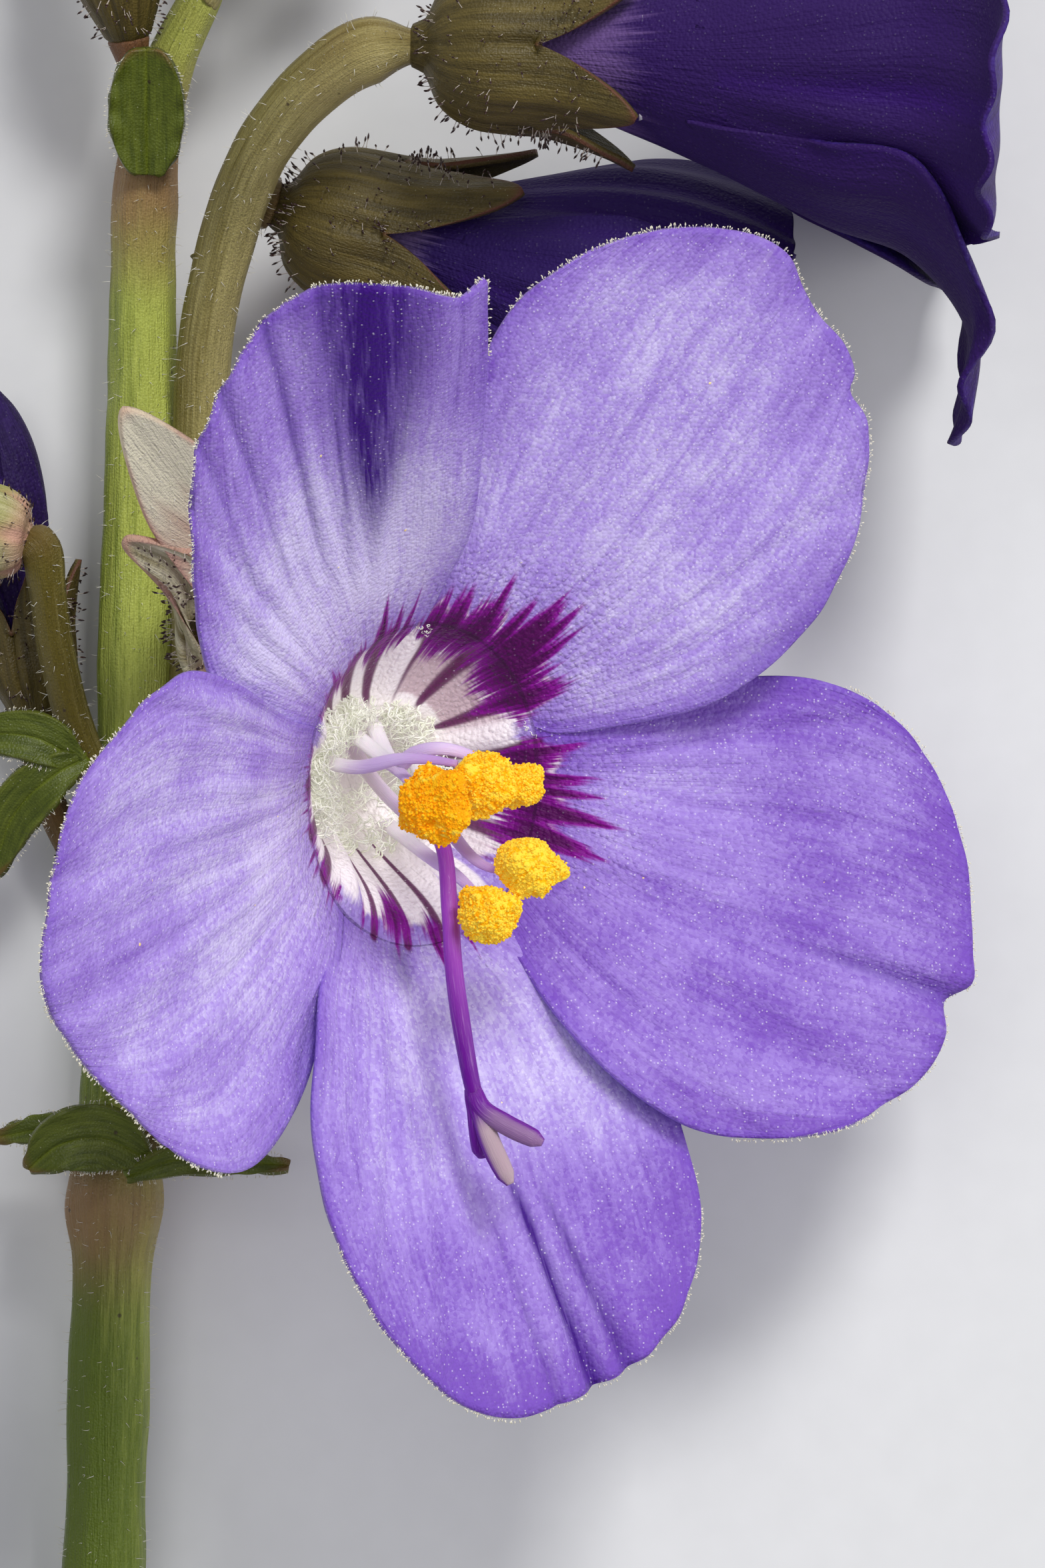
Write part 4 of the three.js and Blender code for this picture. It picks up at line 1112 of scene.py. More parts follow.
@dataclass(frozen=True)
class Crease:
    """Furrow, ridge or step on a lobe between two places (side, reach) on it.

    A furrow or ridge adds depth times a round hill across the line; a step rises across it.
    """

    start: Pair
    end: Pair
    depth: float
    width: Pair
    # dark lays painted shade, with some deeper violet, along the crease.
    dark: float = 0.0
    step: bool = False
    stops: bool = False

    def across(self, x: Points, r: Points) -> tuple[Points, Points, Points]:
        """Distance across the line, share along it, and width at that share."""
        start, end = np.asarray(self.start), np.asarray(self.end)
        run = end - start
        length = float(np.hypot(*run))
        travel = run / length
        share = ((x - start[0]) * travel[0] + (r - start[1]) * travel[1]) / length
        distance = (x - start[0]) * travel[1] - (r - start[1]) * travel[0]
        return distance, share, self.width[0] + (self.width[1] - self.width[0]) * np.clip(share, 0, 1)

    def relief(self, x: Points, r: Points) -> Points:
        """Height that it adds: nothing at its start, the full depth at its end and beyond."""
        distance, share, width = self.across(x, r)
        if self.step:
            fall = np.maximum(distance - width, 0) * 0.42
            return smooth(share) * (self.depth * smooth(distance / (2 * width) + 0.5) - fall)
        return smooth(share) * self.depth * hill(distance, width)

    def darkness(self, x: Points, r: Points) -> Points:
        """Painted shade and tint: a round hill across it, growing along it, gone past its end if it stops."""
        distance, share, width = self.across(x, r)
        left = 1 - smooth((share - 0.7) * 1.6) if self.stops else 1.0
        return self.dark * left * smooth(share * 2.4) * hill(distance, width * 0.8)


@dataclass(frozen=True)
class Lobe:
    """Petal lobe of the open flower.

    turn is the heading that it points in, start and end the headings of its foot on the ring, rise,
    twist and cup its pose. outline runs from its left foot to its right one as (side, reach). tips
    are the flame's points as (heading, reach past the ring), foot and base the flame's inner edge
    and the level between its points. patch is where the inner edge dips: heading, width, depth.
    tone, its paleness at foot and tip, is partly painted light and shade; fine is the width of its veins.
    """

    turn: float
    start: float
    end: float
    rise: float
    twist: float
    cup: float
    outline: tuple[Pair, ...]
    tips: tuple[Pair, ...]
    foot: float
    base: float
    veins: tuple[float, ...]
    tone: Pair
    creases: tuple[Crease, ...]
    beige: float = 0.0
    patch: Spot = (0.0, 1.0, 0.0)
    fine: float = 1.0


# Each lobe's tone is partly its own colour and partly painted light and shade.
MAIN_LOBES = (
    Lobe(turn=117, start=151, end=89, rise=26, twist=1.0, cup=0.4, tone=(0.55, -0.1),
         outline=((-3.6, 4.4), (-4.7, 5.6), (-5.0, 7.1), (-4.9, 8.8), (-4.5, 10.8), (-3.9, 12.5),
                  (-2.4, 14.0), (-1.0, 14.8), (0.2, 14.9), (1.9, 14.0), (2.7, 13.3), (3.3, 12.9),
                  (3.7, 12.95), (4.0, 13.0), (4.0, 12.3), (3.9, 10.6), (3.7, 9.1), (3.4, 7.3), (3.0, 5.7),
                  (2.4, 4.6)),
         tips=((146, 0.2), (130, 0.3), (116, 0.6), (108, 1.15), (102, 0.8), (97, 0.95), (91, 0.5)),
         foot=-0.5, base=0.05, veins=(135, 120, 104),
         creases=(Crease((0.35, 6.2), (1.2, 14.2), 1.35, (0.3, 1.8), 1.2, step=True),
                  Crease((-2.9, 7.0), (-3.6, 11.8), -0.1, (0.05, 0.2), 0.35),
                  Crease((-1.9, 6.5), (-2.7, 12.8), -0.16, (0.06, 0.24), 0.5),
                  Crease((-0.9, 6.5), (-1.2, 13.8), -0.18, (0.07, 0.28), 0.75),
                  Crease((-0.2, 6.2), (0.1, 14.0), -0.14, (0.07, 0.24), 0.8),
                  Crease((2.6, 8.0), (3.2, 12.6), -0.08, (0.05, 0.14), 0.3))),
    Lobe(turn=54, start=89, end=20, rise=18, twist=0.9, cup=0.0, tone=(0.25, 0.1),
         outline=((-4.3, 5.6), (-5.4, 7.6), (-6.0, 9.2), (-6.2, 10.8), (-5.5, 12.7), (-4.1, 14.3),
                  (-2.3, 15.3), (-1.3, 15.4), (-0.3, 15.0), (0.6, 14.7), (1.5, 14.5), (2.15, 14.1),
                  (2.35, 13.7), (3.1, 13.3), (4.2, 11.9), (4.9, 10.6), (5.3, 8.8), (5.1, 7.0), (4.5, 5.4),
                  (3.3, 3.9), (2.4, 3.0)),
         tips=((86, 0.6), (79, 1.05), (68, 1.6), (59, 1.8), (53, 2.3), (48, 2.1), (44, 1.85), (38, 1.45),
               (30, 0.9)),
         foot=-0.7, base=0.75, veins=(84, 60, 33), beige=1.0,
         creases=(Crease((-2.2, 8.0), (-3.0, 14.0), -0.12, (0.3, 0.7)),
                  Crease((1.5, 7.0), (2.2, 13.6), -0.2, (0.3, 0.6)),
                  Crease((4.2, 5.0), (5.2, 8.8), -0.05, (0.5, 0.7), 0.3))),
    Lobe(turn=-18, start=20, end=-60, rise=16, twist=0.9, cup=0.1, tone=(-0.18, -0.4),
         outline=((-3.6, 5.2), (-4.8, 7.5), (-5.2, 9.4), (-4.8, 11.4), (-3.6, 13.0), (-1.9, 14.1),
                  (-0.3, 14.7), (0.5, 14.9), (1.2, 15.0), (1.65, 14.7), (2.1, 14.4), (2.7, 14.5),
                  (3.7, 14.2), (5.0, 13.0), (5.8, 11.6), (6.3, 10.4), (6.6, 8.6), (6.1, 6.6), (5.2, 5.0),
                  (4.0, 3.9)),
         tips=((10, 0.9), (-2, 1.3), (-8, 1.5), (-16, 1.85), (-25, 1.85), (-33, 0.9)),
         foot=-0.8, base=0.6, veins=(12, 0, -14, -30), beige=0.5,
         creases=(Crease((1.4, 9.6), (1.75, 14.9), -0.42, (0.15, 0.4), 0.5),
                  Crease((3.2, 7.0), (4.8, 12.8), -0.16, (0.3, 0.6)))),
    Lobe(turn=-84, start=-60, end=-127, rise=20, twist=0.9, cup=0.2, tone=(0.36, -0.42),
         outline=((-3.2, 5.0), (-4.6, 7.2), (-5.0, 9.2), (-5.0, 11.2), (-4.3, 13.1), (-2.7, 14.4),
                  (-1.2, 14.9), (0.6, 15.1), (1.8, 15.1), (3.2, 14.5), (4.6, 13.1), (5.6, 11.4),
                  (6.1, 9.7), (6.2, 8.2), (5.8, 6.2), (4.6, 4.3), (3.4, 3.3)),
         tips=((-73, 0.95), (-85, 0.75), (-92, 0.4), (-101, 0.4), (-110, 0.2), (-117, 0.2)),
         foot=-0.3, base=-0.3, veins=(-82, -97, -112), patch=(-100, 9, 0.9), fine=0.45,
         creases=(Crease((0.6, 8.2), (-0.7, 14.6), -0.34, (0.14, 0.34), 1.25),
                  Crease((-0.4, 9.4), (-1.8, 14.6), -0.2, (0.12, 0.34), 0.9),
                  Crease((1.3, 9.0), (0.6, 14.6), -0.12, (0.06, 0.2), 0.4),
                  # Painted shadow of the anthers on this lobe: darkness alone, no depth, ending past its end.
                  Crease((1.3, 3.6), (1.5, 4.9), 0.0, (0.4, 0.5), 0.6, stops=True),
                  Crease((2.4, 8.0), (3.2, 13.6), -0.14, (0.2, 0.5)))),
    Lobe(turn=196, start=233, end=151, rise=27, twist=0.8, cup=0.1, tone=(0.3, 0.08),
         outline=((-3.4, 4.4), (-4.6, 5.8), (-5.4, 7.1), (-5.9, 8.4), (-5.9, 9.5), (-5.2, 10.7), (-4.1, 11.7),
                  (-2.7, 12.6), (-0.8, 13.7), (1.3, 14.5), (2.4, 14.3), (3.6, 13.7), (4.6, 13.2), (5.6, 12.3),
                  (6.3, 10.6), (6.7, 9.2), (6.7, 8.0), (6.0, 6.7), (4.5, 5.0), (3.3, 3.7)),
         tips=((225, 0.3), (215, 0.15), (204, 0.4), (192, 0.2), (175, 0.35), (160, 0.2)),
         foot=-0.25, base=0.0, veins=(215, 196, 175),
         creases=(Crease((-1.0, 7.0), (-1.6, 13.0), -0.14, (0.3, 0.6)),
                  Crease((2.6, 7.0), (3.8, 13.0), -0.12, (0.3, 0.5)))),
)
MAIN_ANTHERS = (
    Anther((-2.17, -0.52, 16.4), (0.82, 0.86, 0.66), 10, tone=-0.45),
    Anther((-1.0, 0.02, 15.15), (0.78, 0.78, 0.55), 0),
    Anther((-0.02, -0.03, 14.6), (0.56, 0.5, 0.5), 0, tone=0.1),
    Anther((0.08, -2.0, 15.4), (0.76, 0.66, 0.6), -10, tone=0.25),
    Anther((-0.84, -3.22, 15.5), (0.72, 0.7, 0.6), 20, tone=0.1),
)
MAIN_FILAMENTS = (
    (120, ((-3.35, 0.55, 12.4), (-2.75, 0.0, 14.4), (-2.45, -0.4, 15.1))),
    (165, ((-4.05, 0.42, 13.2), (-3.0, 0.62, 14.3), (-2.25, 0.6, 14.8), (-1.6, 0.5, 15.0))),
    (80, ((-3.1, 0.45, 12.9), (-2.7, 0.75, 13.6), (-2.1, 0.88, 13.95), (-1.4, 0.75, 13.9),
          (-0.45, 0.2, 13.8), (-0.1, 0.0, 14.1))),
    (10, ((-1.85, -1.1, 12.6), (-1.2, -1.85, 13.8), (-0.7, -2.1, 14.6), (-0.3, -2.1, 15.1))),
    (-60, ((-2.2, -1.9, 12.6), (-1.6, -2.3, 13.5), (-1.1, -2.8, 14.5), (-0.95, -3.1, 15.0))),
)
MAIN_OVARY = ((-6.38, 4.76, 5.4), (-6.24, 4.5, 5.8), (-6.1, 4.25, 6.2))
MAIN_STYLE = ((-6.1, 4.25, 6.2), (-5.0, 2.2, 8.1), (-3.9, 0.3, 9.8), (-2.9, -0.75, 12.1), (-2.0, -1.45, 14.0),
              (-1.79, -3.12, 14.8), (-1.66, -4.81, 15.0), (-1.28, -7.21, 14.8), (-1.12, -7.89, 14.7))
MAIN_STIGMAS = (
    (((-1.24, -7.5, 14.74), (-1.14, -8.0, 14.7), (-1.06, -8.6, 14.6), (-1.0, -9.22, 14.4)), (0.0, 0.0)),
    (((-1.22, -7.5, 14.78), (-1.08, -7.98, 14.78), (-0.78, -8.85, 14.86), (-0.3, -9.85, 14.9)), (0.9, 0.5)),
    (((-1.22, -7.5, 14.8), (-1.02, -7.95, 14.84), (-0.45, -8.35, 15.0), (0.5, -8.81, 15.2)), (0.4, -0.5)),
)
MAIN_SEPALS = (Sepal(6.35, 84, 20, 1.6, 0.6, 1.65), Sepal(3.3, 82, -31, 0.6, 0.05, 2.4), Sepal(3.8, 34),
               Sepal(3.6, 32), Sepal(3.8, 34, tone=-0.2))


@dataclass
class MainFlower:
    """Open flower: corolla with throat and tube, filaments, anthers, pistil, calyx and its hairs.

    wall is the throat's radius at each depth, wool its hairs as (from depth, to depth, from heading,
    to heading, number), wave the margins' (height, reach), rib the (height, width) of the ribs.
    """

    centre: tuple = (-2.53, 0.0, 11.8)
    tilt: float = 33.0
    tilt_turn: float = -15.0
    ring: float = 3.75
    oval: float = 0.35
    oval_depth: float = 3.0
    ring_rise: float = 0.8
    ring_fade: float = 1.6
    flare: float = 4.0
    lobe_side: float = 7.0
    pleat: float = 0.1
    pleat_rate: float = 2.4
    side_share: float = 0.32
    columns: int = 84
    rows: int = 62
    spike_slope: float = 3.6
    wave: Pair = (0.10, 1.1)
    grain: float = 0.035
    rib: Pair = (0.3, 0.34)
    funnel_depth: float = 2.6
    thin: float = 0.13
    thick: float = 0.24
    tube_bend: tuple = ((-5.0, 2.2, 8.2), (-5.9, 3.9, 6.8), (-6.3, 4.65, 5.6), (-6.65, 5.2, 4.6))
    wall: tuple = ((0.0, 3.75), (0.8, 3.1), (1.8, 2.45), (3.2, 1.75), (4.6, 1.25), (7.5, 1.25), (9.6, 1.1),
                   (10.0, 0.5))
    wool: tuple = ((0.8, 1.7, 135.0, 205.0, 140), (1.4, 2.4, 115.0, 205.0, 280),
                   (2.1, 3.5, -110.0, 250.0, 400))
    margin_hairs: int = 320
    tuft: int = 14
    specks: int = 5
    lobes: tuple[Lobe, ...] = MAIN_LOBES

    def __post_init__(self) -> None:
        """Work out the limb's axes and the tube's centre line."""
        tilt, turn = np.radians(self.tilt), np.radians(self.tilt_turn)
        axis = np.array([np.sin(tilt) * np.cos(turn), np.sin(tilt) * np.sin(turn), np.cos(tilt)])
        self.limb = Axes.along(axis, SIDEWAYS, self.centre)
        self.line = Path([self.centre, np.asarray(self.centre) - axis * self.funnel_depth, *self.tube_bend])

    def ring_radius(self, heading: Points) -> Points:
        """Radius of the throat's ring: the mean less the oval times the cosine of twice the heading."""
        return self.ring - self.oval * np.cos(2 * heading)

    def polar(self, lobe: Lobe, x: Points, r: Points) -> tuple[Points, Points]:
        """Heading in degrees and reach past the ring of places on a lobe."""
        heading = lobe.turn - np.degrees(np.arctan2(x, r))
        return heading, np.hypot(x, r) - self.ring_radius(np.radians(heading))

    def height(self, lobe: Lobe, x: Points, r: Points, margin: Points | float = 9.0) -> Points:
        """Height of a lobe over the limb's plane.

        The flare out of the ring, an even rise, the propeller twist, the cup and the shallow pleats are
        the model's own; creases and a ripple that dies away from the margin are added.

        Args:
            lobe: the lobe.
            x: side coordinate.
            r: reach from the flower's axis.
            margin: distance to the lobe's margin.

        Returns:
            The height.
        """
        heading, out = self.polar(lobe, x, r)
        out, side, seed = np.maximum(out, 0), x / self.lobe_side, int(abs(lobe.turn))
        opened = smooth(out / self.flare)
        shape = self.ring_rise * (1 - np.exp(-out / self.ring_fade)) + out * np.tan(np.radians(lobe.rise))
        shape = shape + opened * (lobe.twist * side + lobe.cup * side**2)
        shape = shape + self.pleat * opened * (1 - out / 11.2) * np.cos(x * self.pleat_rate)
        for crease in lobe.creases:
            shape = shape + crease.relief(x, r)
        wave = ripple(np.radians(heading) * 9, seed + 3, 0.6, 2.6)
        shape = shape + self.wave[0] * opened * np.exp(-np.maximum(margin, 0) / self.wave[1]) * wave
        return shape + self.grain * opened * ripple(heading, seed + 11, 0.25, 1.5, 14)

    def place(self, lobe: Lobe, x: Points, r: Points, height: Points) -> Points:
        """Points of the spray at places on a lobe."""
        turn = np.radians(lobe.turn)
        return self.limb.put(r * np.cos(turn) + x * np.sin(turn), r * np.sin(turn) - x * np.cos(turn), height)

    def ring_place(self, lobe: Lobe, heading: Points) -> Points:
        """Side and reach on a lobe of the ring's points at headings in degrees."""
        heading = np.radians(heading)
        radius, off = self.ring_radius(heading), np.radians(lobe.turn) - heading
        return np.stack([radius * np.sin(off), radius * np.cos(off)], -1)

    def outline(self, lobe: Lobe) -> Path:
        """Outline of a lobe in its own plane, from foot to foot."""
        return Path([self.ring_place(lobe, lobe.start), *lobe.outline, self.ring_place(lobe, lobe.end)])

    def lobe_grid(self, lobe: Lobe) -> tuple[Points, Points, Points]:
        """Flat places of a lobe's grid: a patch stretched between foot, two sides and top.

        Args:
            lobe: the lobe.

        Returns:
            Side, reach and distance to the margin, each as rows by columns.
        """
        line = self.outline(lobe)
        t = np.linspace(0, 1, self.columns + 1)[None, :]
        v = (np.linspace(0, 1, self.rows + 1) ** 1.25)[:, None]
        foot = self.ring_place(lobe, lobe.start + (lobe.end - lobe.start) * t)
        top = line.at(self.side_share + (1 - 2 * self.side_share) * t)
        left, right = line.at(self.side_share * v), line.at(1 - self.side_share * v)
        t, v = t[..., None], v[..., None]
        flat = (foot * (1 - v) + top * v + left * (1 - t) + right * t - foot[:, :1] * (1 - t) * (1 - v)
                - foot[:, -1:] * t * (1 - v) - top[:, :1] * (1 - t) * v - top[:, -1:] * t * v)
        margin = np.minimum.reduce([np.linalg.norm(flat - edge, axis=-1) for edge in (left, right, top)])
        return flat[..., 0], flat[..., 1], margin

    def marks(self, lobe: Lobe, heading: Points, out: Points) -> dict[str, Points]:
        """Throat and flame marks at headings in degrees and reaches past the ring.

        The flame's outer edge is the furthest of its points, each a spike that falls away with the
        heading to the power 0.7, and not lower than its base; the flame is the smaller distance to
        the two edges.

        Args:
            lobe: the lobe whose marks they are.
            heading: headings in degrees.
            out: reaches past the ring, negative inside the throat.

        Returns:
            The layers mark (the flame), throat, beige and vein.
        """
        arc, seed = np.radians(1.0) * self.ring, int(abs(lobe.turn))
        outer = np.maximum.reduce([reach - self.spike_slope * (np.abs(heading - tip) * arc) ** 0.7
                                   for tip, reach in lobe.tips])
        beyond = np.maximum(np.maximum(heading - lobe.tips[0][0], lobe.tips[-1][0] - heading), 0)
        level = lobe.base + 0.12 * ripple(heading, seed + 29, 0.5, 1.6) - 2.0 * beyond * arc
        outer = np.maximum(outer, level)
        place, wide, dip = lobe.patch
        foot = lobe.foot + 0.18 * ripple(heading, seed + 5, 0.1, 0.5) - dip * hill(heading - place, wide)
        vein = np.zeros(np.shape(heading))
        for line in lobe.veins:
            width = lobe.fine * (0.12 + 0.16 * smooth((out + 2.6) / 2.4))
            near = np.abs(heading - line) * arc * (1 + np.minimum(out, 0) / 5)
            vein = np.maximum(vein, np.clip(1.2 - near / width, 0, 1))
        return {"mark": np.minimum(outer - out, out - foot), "throat": smooth((level - out) / 0.35 + 0.2),
                "beige": lobe.beige * smooth((out + 2.4) / 0.4) * smooth((foot + 0.3 - out) / 0.4),
                "vein": vein * smooth((out + 2.9) / 0.8) * smooth((0.3 - out) / 0.3)}

    def lobe_layers(self, lobe: Lobe, number: int, x: Points, r: Points, margin: Points) -> dict[str, Points]:
        """Values that a lobe's vertices carry.

        Args:
            lobe: the lobe.
            number: number of the lobe, which sets its streaks apart.
            x: side coordinate.
            r: reach from the flower's axis.
            margin: distance to the lobe's margin.

        Returns:
            The layers.
        """
        heading, out = self.polar(lobe, x, r)
        near, far = lobe.tone
        body = near + (far - near) * smooth((out - 2.5) / 6.0) - 0.3 * smooth((2.2 - margin) / 2.2)
        # body carries the lobe's tone; the creases' darkness is painted shade with some deeper violet.
        return {"lay": stacked(np.linspace(-5.5, 5.5, x.shape[1]), out, 17.0 * number),
                "ray": stacked(np.radians(heading) * self.ring, out, 0.0), "margin": margin,
                "deep": np.maximum.reduce([crease.darkness(x, r) for crease in lobe.creases]),
                "body": body - 0.25 * smooth((1.6 - out) / 1.6), **self.marks(lobe, heading, out)}

    def tube_axes(self, share: Points) -> tuple[Points, Points, Points]:
        """Directions x, y and z of the rings at shares of the tube's bent centre line, z up to the limb."""
        z = -self.line.along(share)
        x = unit(self.limb.x - z * (z @ self.limb.x)[:, None])
        return x, np.cross(z, x), z

    def funnel_rows(self) -> tuple[Points, dict[str, Points]]:
        """Throat and tube from their foot up to the ring, with the vertices' values.

        Each ring stands square to the bent centre line; its radius follows the wall, with the ring's
        oval fading out, and ribs stand in between the lobes.

        Returns:
            Points as rows by columns, and the layers.
        """
        depth = np.concatenate([np.linspace(10.0, 4.6, 14), np.linspace(4.3, 0.0, 24)])[:, None]
        share = np.clip(depth[:, 0] / self.line.length, 0, 1)
        headings = np.concatenate([
            np.linspace(lobe.start, lobe.end, self.columns, endpoint=False)
            + (-360.0 if lobe.start > 200 else 0.0) for lobe in self.lobes])[None, :]
        fade = (1 - smooth(depth / self.oval_depth)) * self.oval / self.ring
        radius = Path(self.wall).second_at(depth) * (1 - fade * np.cos(2 * np.radians(headings)))
        gap = np.minimum.reduce([np.abs((headings - lobe.end + 180) % 360 - 180) for lobe in self.lobes])
        arc = np.radians(gap) * radius
        rib = hill(arc, self.rib[1]) * smooth(depth / 0.5) * smooth((4.6 - depth) / 1.5)
        radius = radius - self.rib[0] * rib
        x, y, _ = self.tube_axes(share)
        angle = np.radians(headings)
        points = (self.line.at(share)[:, None] + (radius * np.cos(angle))[..., None] * x[:, None]
                  + (radius * np.sin(angle))[..., None] * y[:, None])
        parts = []
        for lobe, wide in zip(self.lobes, np.split(headings, len(self.lobes), axis=1)):
            near = (wide - lobe.turn + 180) % 360 - 180 + lobe.turn
            parts.append(self.marks(lobe, *np.broadcast_arrays(near, -depth)))
        layers = {key: np.concatenate([part[key] for part in parts], 1) for key in parts[0]}
        layers["mark"] = np.where(rib > 0.35, -1.0, layers["mark"])
        layers["vein"] = layers["vein"] * (1 - rib)
        layers["beige"] = layers["beige"] * (1 - rib)
        layers["throat"] = np.maximum(layers["throat"], rib)
        layers["lay"] = layers["ray"] = stacked(angle * self.ring, -depth, 0.0)
        layers.update(margin=9.0, deep=0.0, body=0.0)
        return points, layers

    def corolla(self) -> None:
        """Corolla: throat and five lobes as one thin sheet with a rim."""
        funnel, layers = self.funnel_rows()
        count = funnel[..., 0].size
        index = grid_index(*funnel.shape[:2], closed=True)
        points, quads = [funnel.reshape(-1, 3)], [grid_faces(index)]
        thickness = [np.full(count, self.thick)]
        values = {key: [per_vertex(value, count)] for key, value in layers.items()}
        for number, lobe in enumerate(self.lobes):
            x, r, margin = self.lobe_grid(lobe)
            placed = self.place(lobe, x, r, self.height(lobe, x, r, margin))
            first = number * self.columns
            body = grid_index(self.rows, self.columns + 1) + count
            quads.append(grid_faces(np.concatenate([index[-1:, first:first + self.columns + 1], body])))
            points.append(placed[1:].reshape(-1, 3))
            for key, value in self.lobe_layers(lobe, number + 1, x, r, margin).items():
                values[key].append(per_vertex(value[1:], body.size))
            thickness.append((self.thin + (self.thick - self.thin) * smooth(margin[1:] / 1.2)).ravel())
            count += body.size
        draft = Draft("main_petals")
        draft.add_thick(np.concatenate(points), np.concatenate(quads), np.concatenate(thickness),
                        **{key: np.concatenate(parts) for key, parts in values.items()})
        draft.build("open_petal", Slot.PETAL, "corolla_main")

    def petal_hairs(self) -> None:
        """Short glandular hairs along the outer margins of the lobes."""
        draft = Draft("main_petal_hairs")
        draw = np.random.default_rng(41)
        for number, lobe in enumerate(self.lobes):
            line = self.outline(lobe)
            share = np.sort(draw.uniform(0.24, 0.76, self.margin_hairs))
            travel = line.along(share)
            x, r = line.at(share).T
            height = self.height(lobe, x, r, 0.0)
            root = self.place(lobe, x, r, height)
            beyond = self.place(lobe, x - travel[:, 1], r + travel[:, 0], height)
            direction = unit(beyond - root) + draw.normal(0, 0.35, (len(x), 3))
            lengths = draw.uniform(0.08, 0.17, len(x))
            HEADED_HAIR.grow(draft, root - 0.02 * direction, direction, lengths, 0.011, 50 + number)
        draft.build("clear_hair", Slot.PETAL)

    def filament_piece(self) -> None:
        """Five flattened filaments, from the wall of the throat to the pollen."""
        draft = Draft("main_filaments")
        for heading, route in MAIN_FILAMENTS:
            foot = self.limb.around(1.7, np.radians(heading), -3.4)
            add_strand(draft, Path([foot, *route]), (0.2, 0.22, 0.21, 0.2, 0.18, 0.14, 0.09), 48, 16,
                       (0.15, 0.2, 1.0), 0.5)
        draft.build("filament_skin", Slot.STYLE)

    def pistil_piece(self) -> None:
        """Style with its ovary in the foot of the tube, and three stigma lobes at its fork."""
        draft = Draft("main_pistil")
        add_strand(draft, Path(MAIN_OVARY), (0.3, 0.5, 0.58, 0.5, 0.3), 16, 16, SIDEWAYS)
        add_strand(draft, Path(MAIN_STYLE), (0.26, 0.22, 0.19, 0.18, 0.18, 0.195, 0.215, 0.235, 0.2), 150, 20,
                   (0.3, 0.0, 1.0))
        for route, face in MAIN_STIGMAS:
            add_strand(draft, Path(route), (0.2, 0.23, 0.24, 0.24, 0.25, 0.26, 0.26, 0.26, 0.25, 0.23, 0.1),
                       44, 20, UPWARDS, 0.7, 0.98, 1.35, face)
        draft.build("style_skin", Slot.STYLE, "pistil_main")

    def calyx_piece(self) -> None:
        """Calyx behind the corolla, its longest sepal pale and broad."""
        base = np.array([-7.0, 5.75, 3.7])
        axes = Axes.along(np.array([-5.8, 3.67, 6.9]) - base, SIDEWAYS, base)
        calyx = Calyx(axes, 2.55, 3.1, MAIN_SEPALS, 100, columns=40, tooth_rows=44, cup_tone=-0.3,
                      bulge=(205.0, 0.6))
        calyx.build("main_calyx", "sepal_main", "calyx_main", 1300, 200)

    def throat_wool(self) -> None:
        """Curled white hairs at the feet of the filaments, and a small tuft in each gap between lobes."""
        draw = np.random.default_rng(61)
        draft = Draft("throat_wool")
        for number, (low, high, first, last, count) in enumerate(self.wool):
            depth = draw.uniform(low, high, count)
            angle = np.radians(draw.uniform(first, last, count))
            share = depth / self.line.length
            x, y, z = self.tube_axes(share)
            radius = Path(self.wall).second_at(depth) - 0.05
            outward = np.cos(angle)[:, None] * x + np.sin(angle)[:, None] * y
            roots = self.line.at(share) + radius[:, None] * outward
            direction = z * 0.55 - outward * 0.95 + draw.normal(0, 0.35, (count, 3))
            WOOLLY_HAIR.grow(draft, roots, direction, draw.uniform(0.5, 1.05, count), 0.032, 620 + number)
        for number, lobe in enumerate(self.lobes):
            heading = np.radians(lobe.end + draw.normal(0, 1.2, self.tuft))
            ring = self.ring_radius(heading) - draw.uniform(0.0, 0.35, self.tuft)
            roots = self.limb.around(ring, heading, draw.uniform(-0.3, 0.05, self.tuft))
            direction = self.limb.z + draw.normal(0, 0.5, (self.tuft, 3))
            WOOLLY_HAIR.grow(draft, roots, direction, draw.uniform(0.12, 0.26, self.tuft), 0.014, 63 + number)
        draft.build("throat_hair", Slot.PETAL)

    def pollen_specks(self) -> None:
        """Loose pollen grains that stick to the petals."""
        draw = np.random.default_rng(77)
        draft = Draft("loose_pollen")
        for number, lobe in enumerate(self.lobes):
            r = draw.uniform(4.6, 12.0, self.specks)
            x = draw.uniform(-2.4, 2.4, self.specks)
            at = self.place(lobe, x, r, self.height(lobe, x, r) + 0.1)
            add_lumps(draft, at, draw.uniform(0.03, 0.06, self.specks), 78 + number)
        draft.build("loose_pollen", Slot.POLLEN)

    def build(self) -> None:
        """Build every piece of the open flower."""
        self.corolla()
        self.petal_hairs()
        self.filament_piece()
        self.pistil_piece()
        self.calyx_piece()
        self.throat_wool()
        self.pollen_specks()
        for number, anther in enumerate(MAIN_ANTHERS):
            anther.build(f"main_anther_{number + 1}", f"anther_main_{number + 1}", 100 + number)


# Bell flower and half-open flower


class Spline:
    """Even Catmull-Rom curve through points whose ends are held, read by its share of steps."""

    def __init__(self, points: list | tuple) -> None:
        """Keep the points, each a tuple of numbers."""
        self.points = np.asarray(points, float)

    def at(self, share: Points) -> Points:
        """Points at shares of the number of steps."""
        last = len(self.points) - 1
        place = np.clip(share, 0, 1) * last
        step = np.minimum(np.floor(place).astype(int), last - 1)
        t = (place - step)[..., None]
        p0, p1, p2, p3 = (self.points[np.clip(step + k, 0, last)] for k in (-1, 0, 1, 2))
        v0, v1 = (p2 - p0) / 2, (p3 - p1) / 2
        return p1 + v0 * t + (-3 * p1 + 3 * p2 - 2 * v0 - v1) * t**2 + (2 * p1 - 2 * p2 + v0 + v1) * t**3


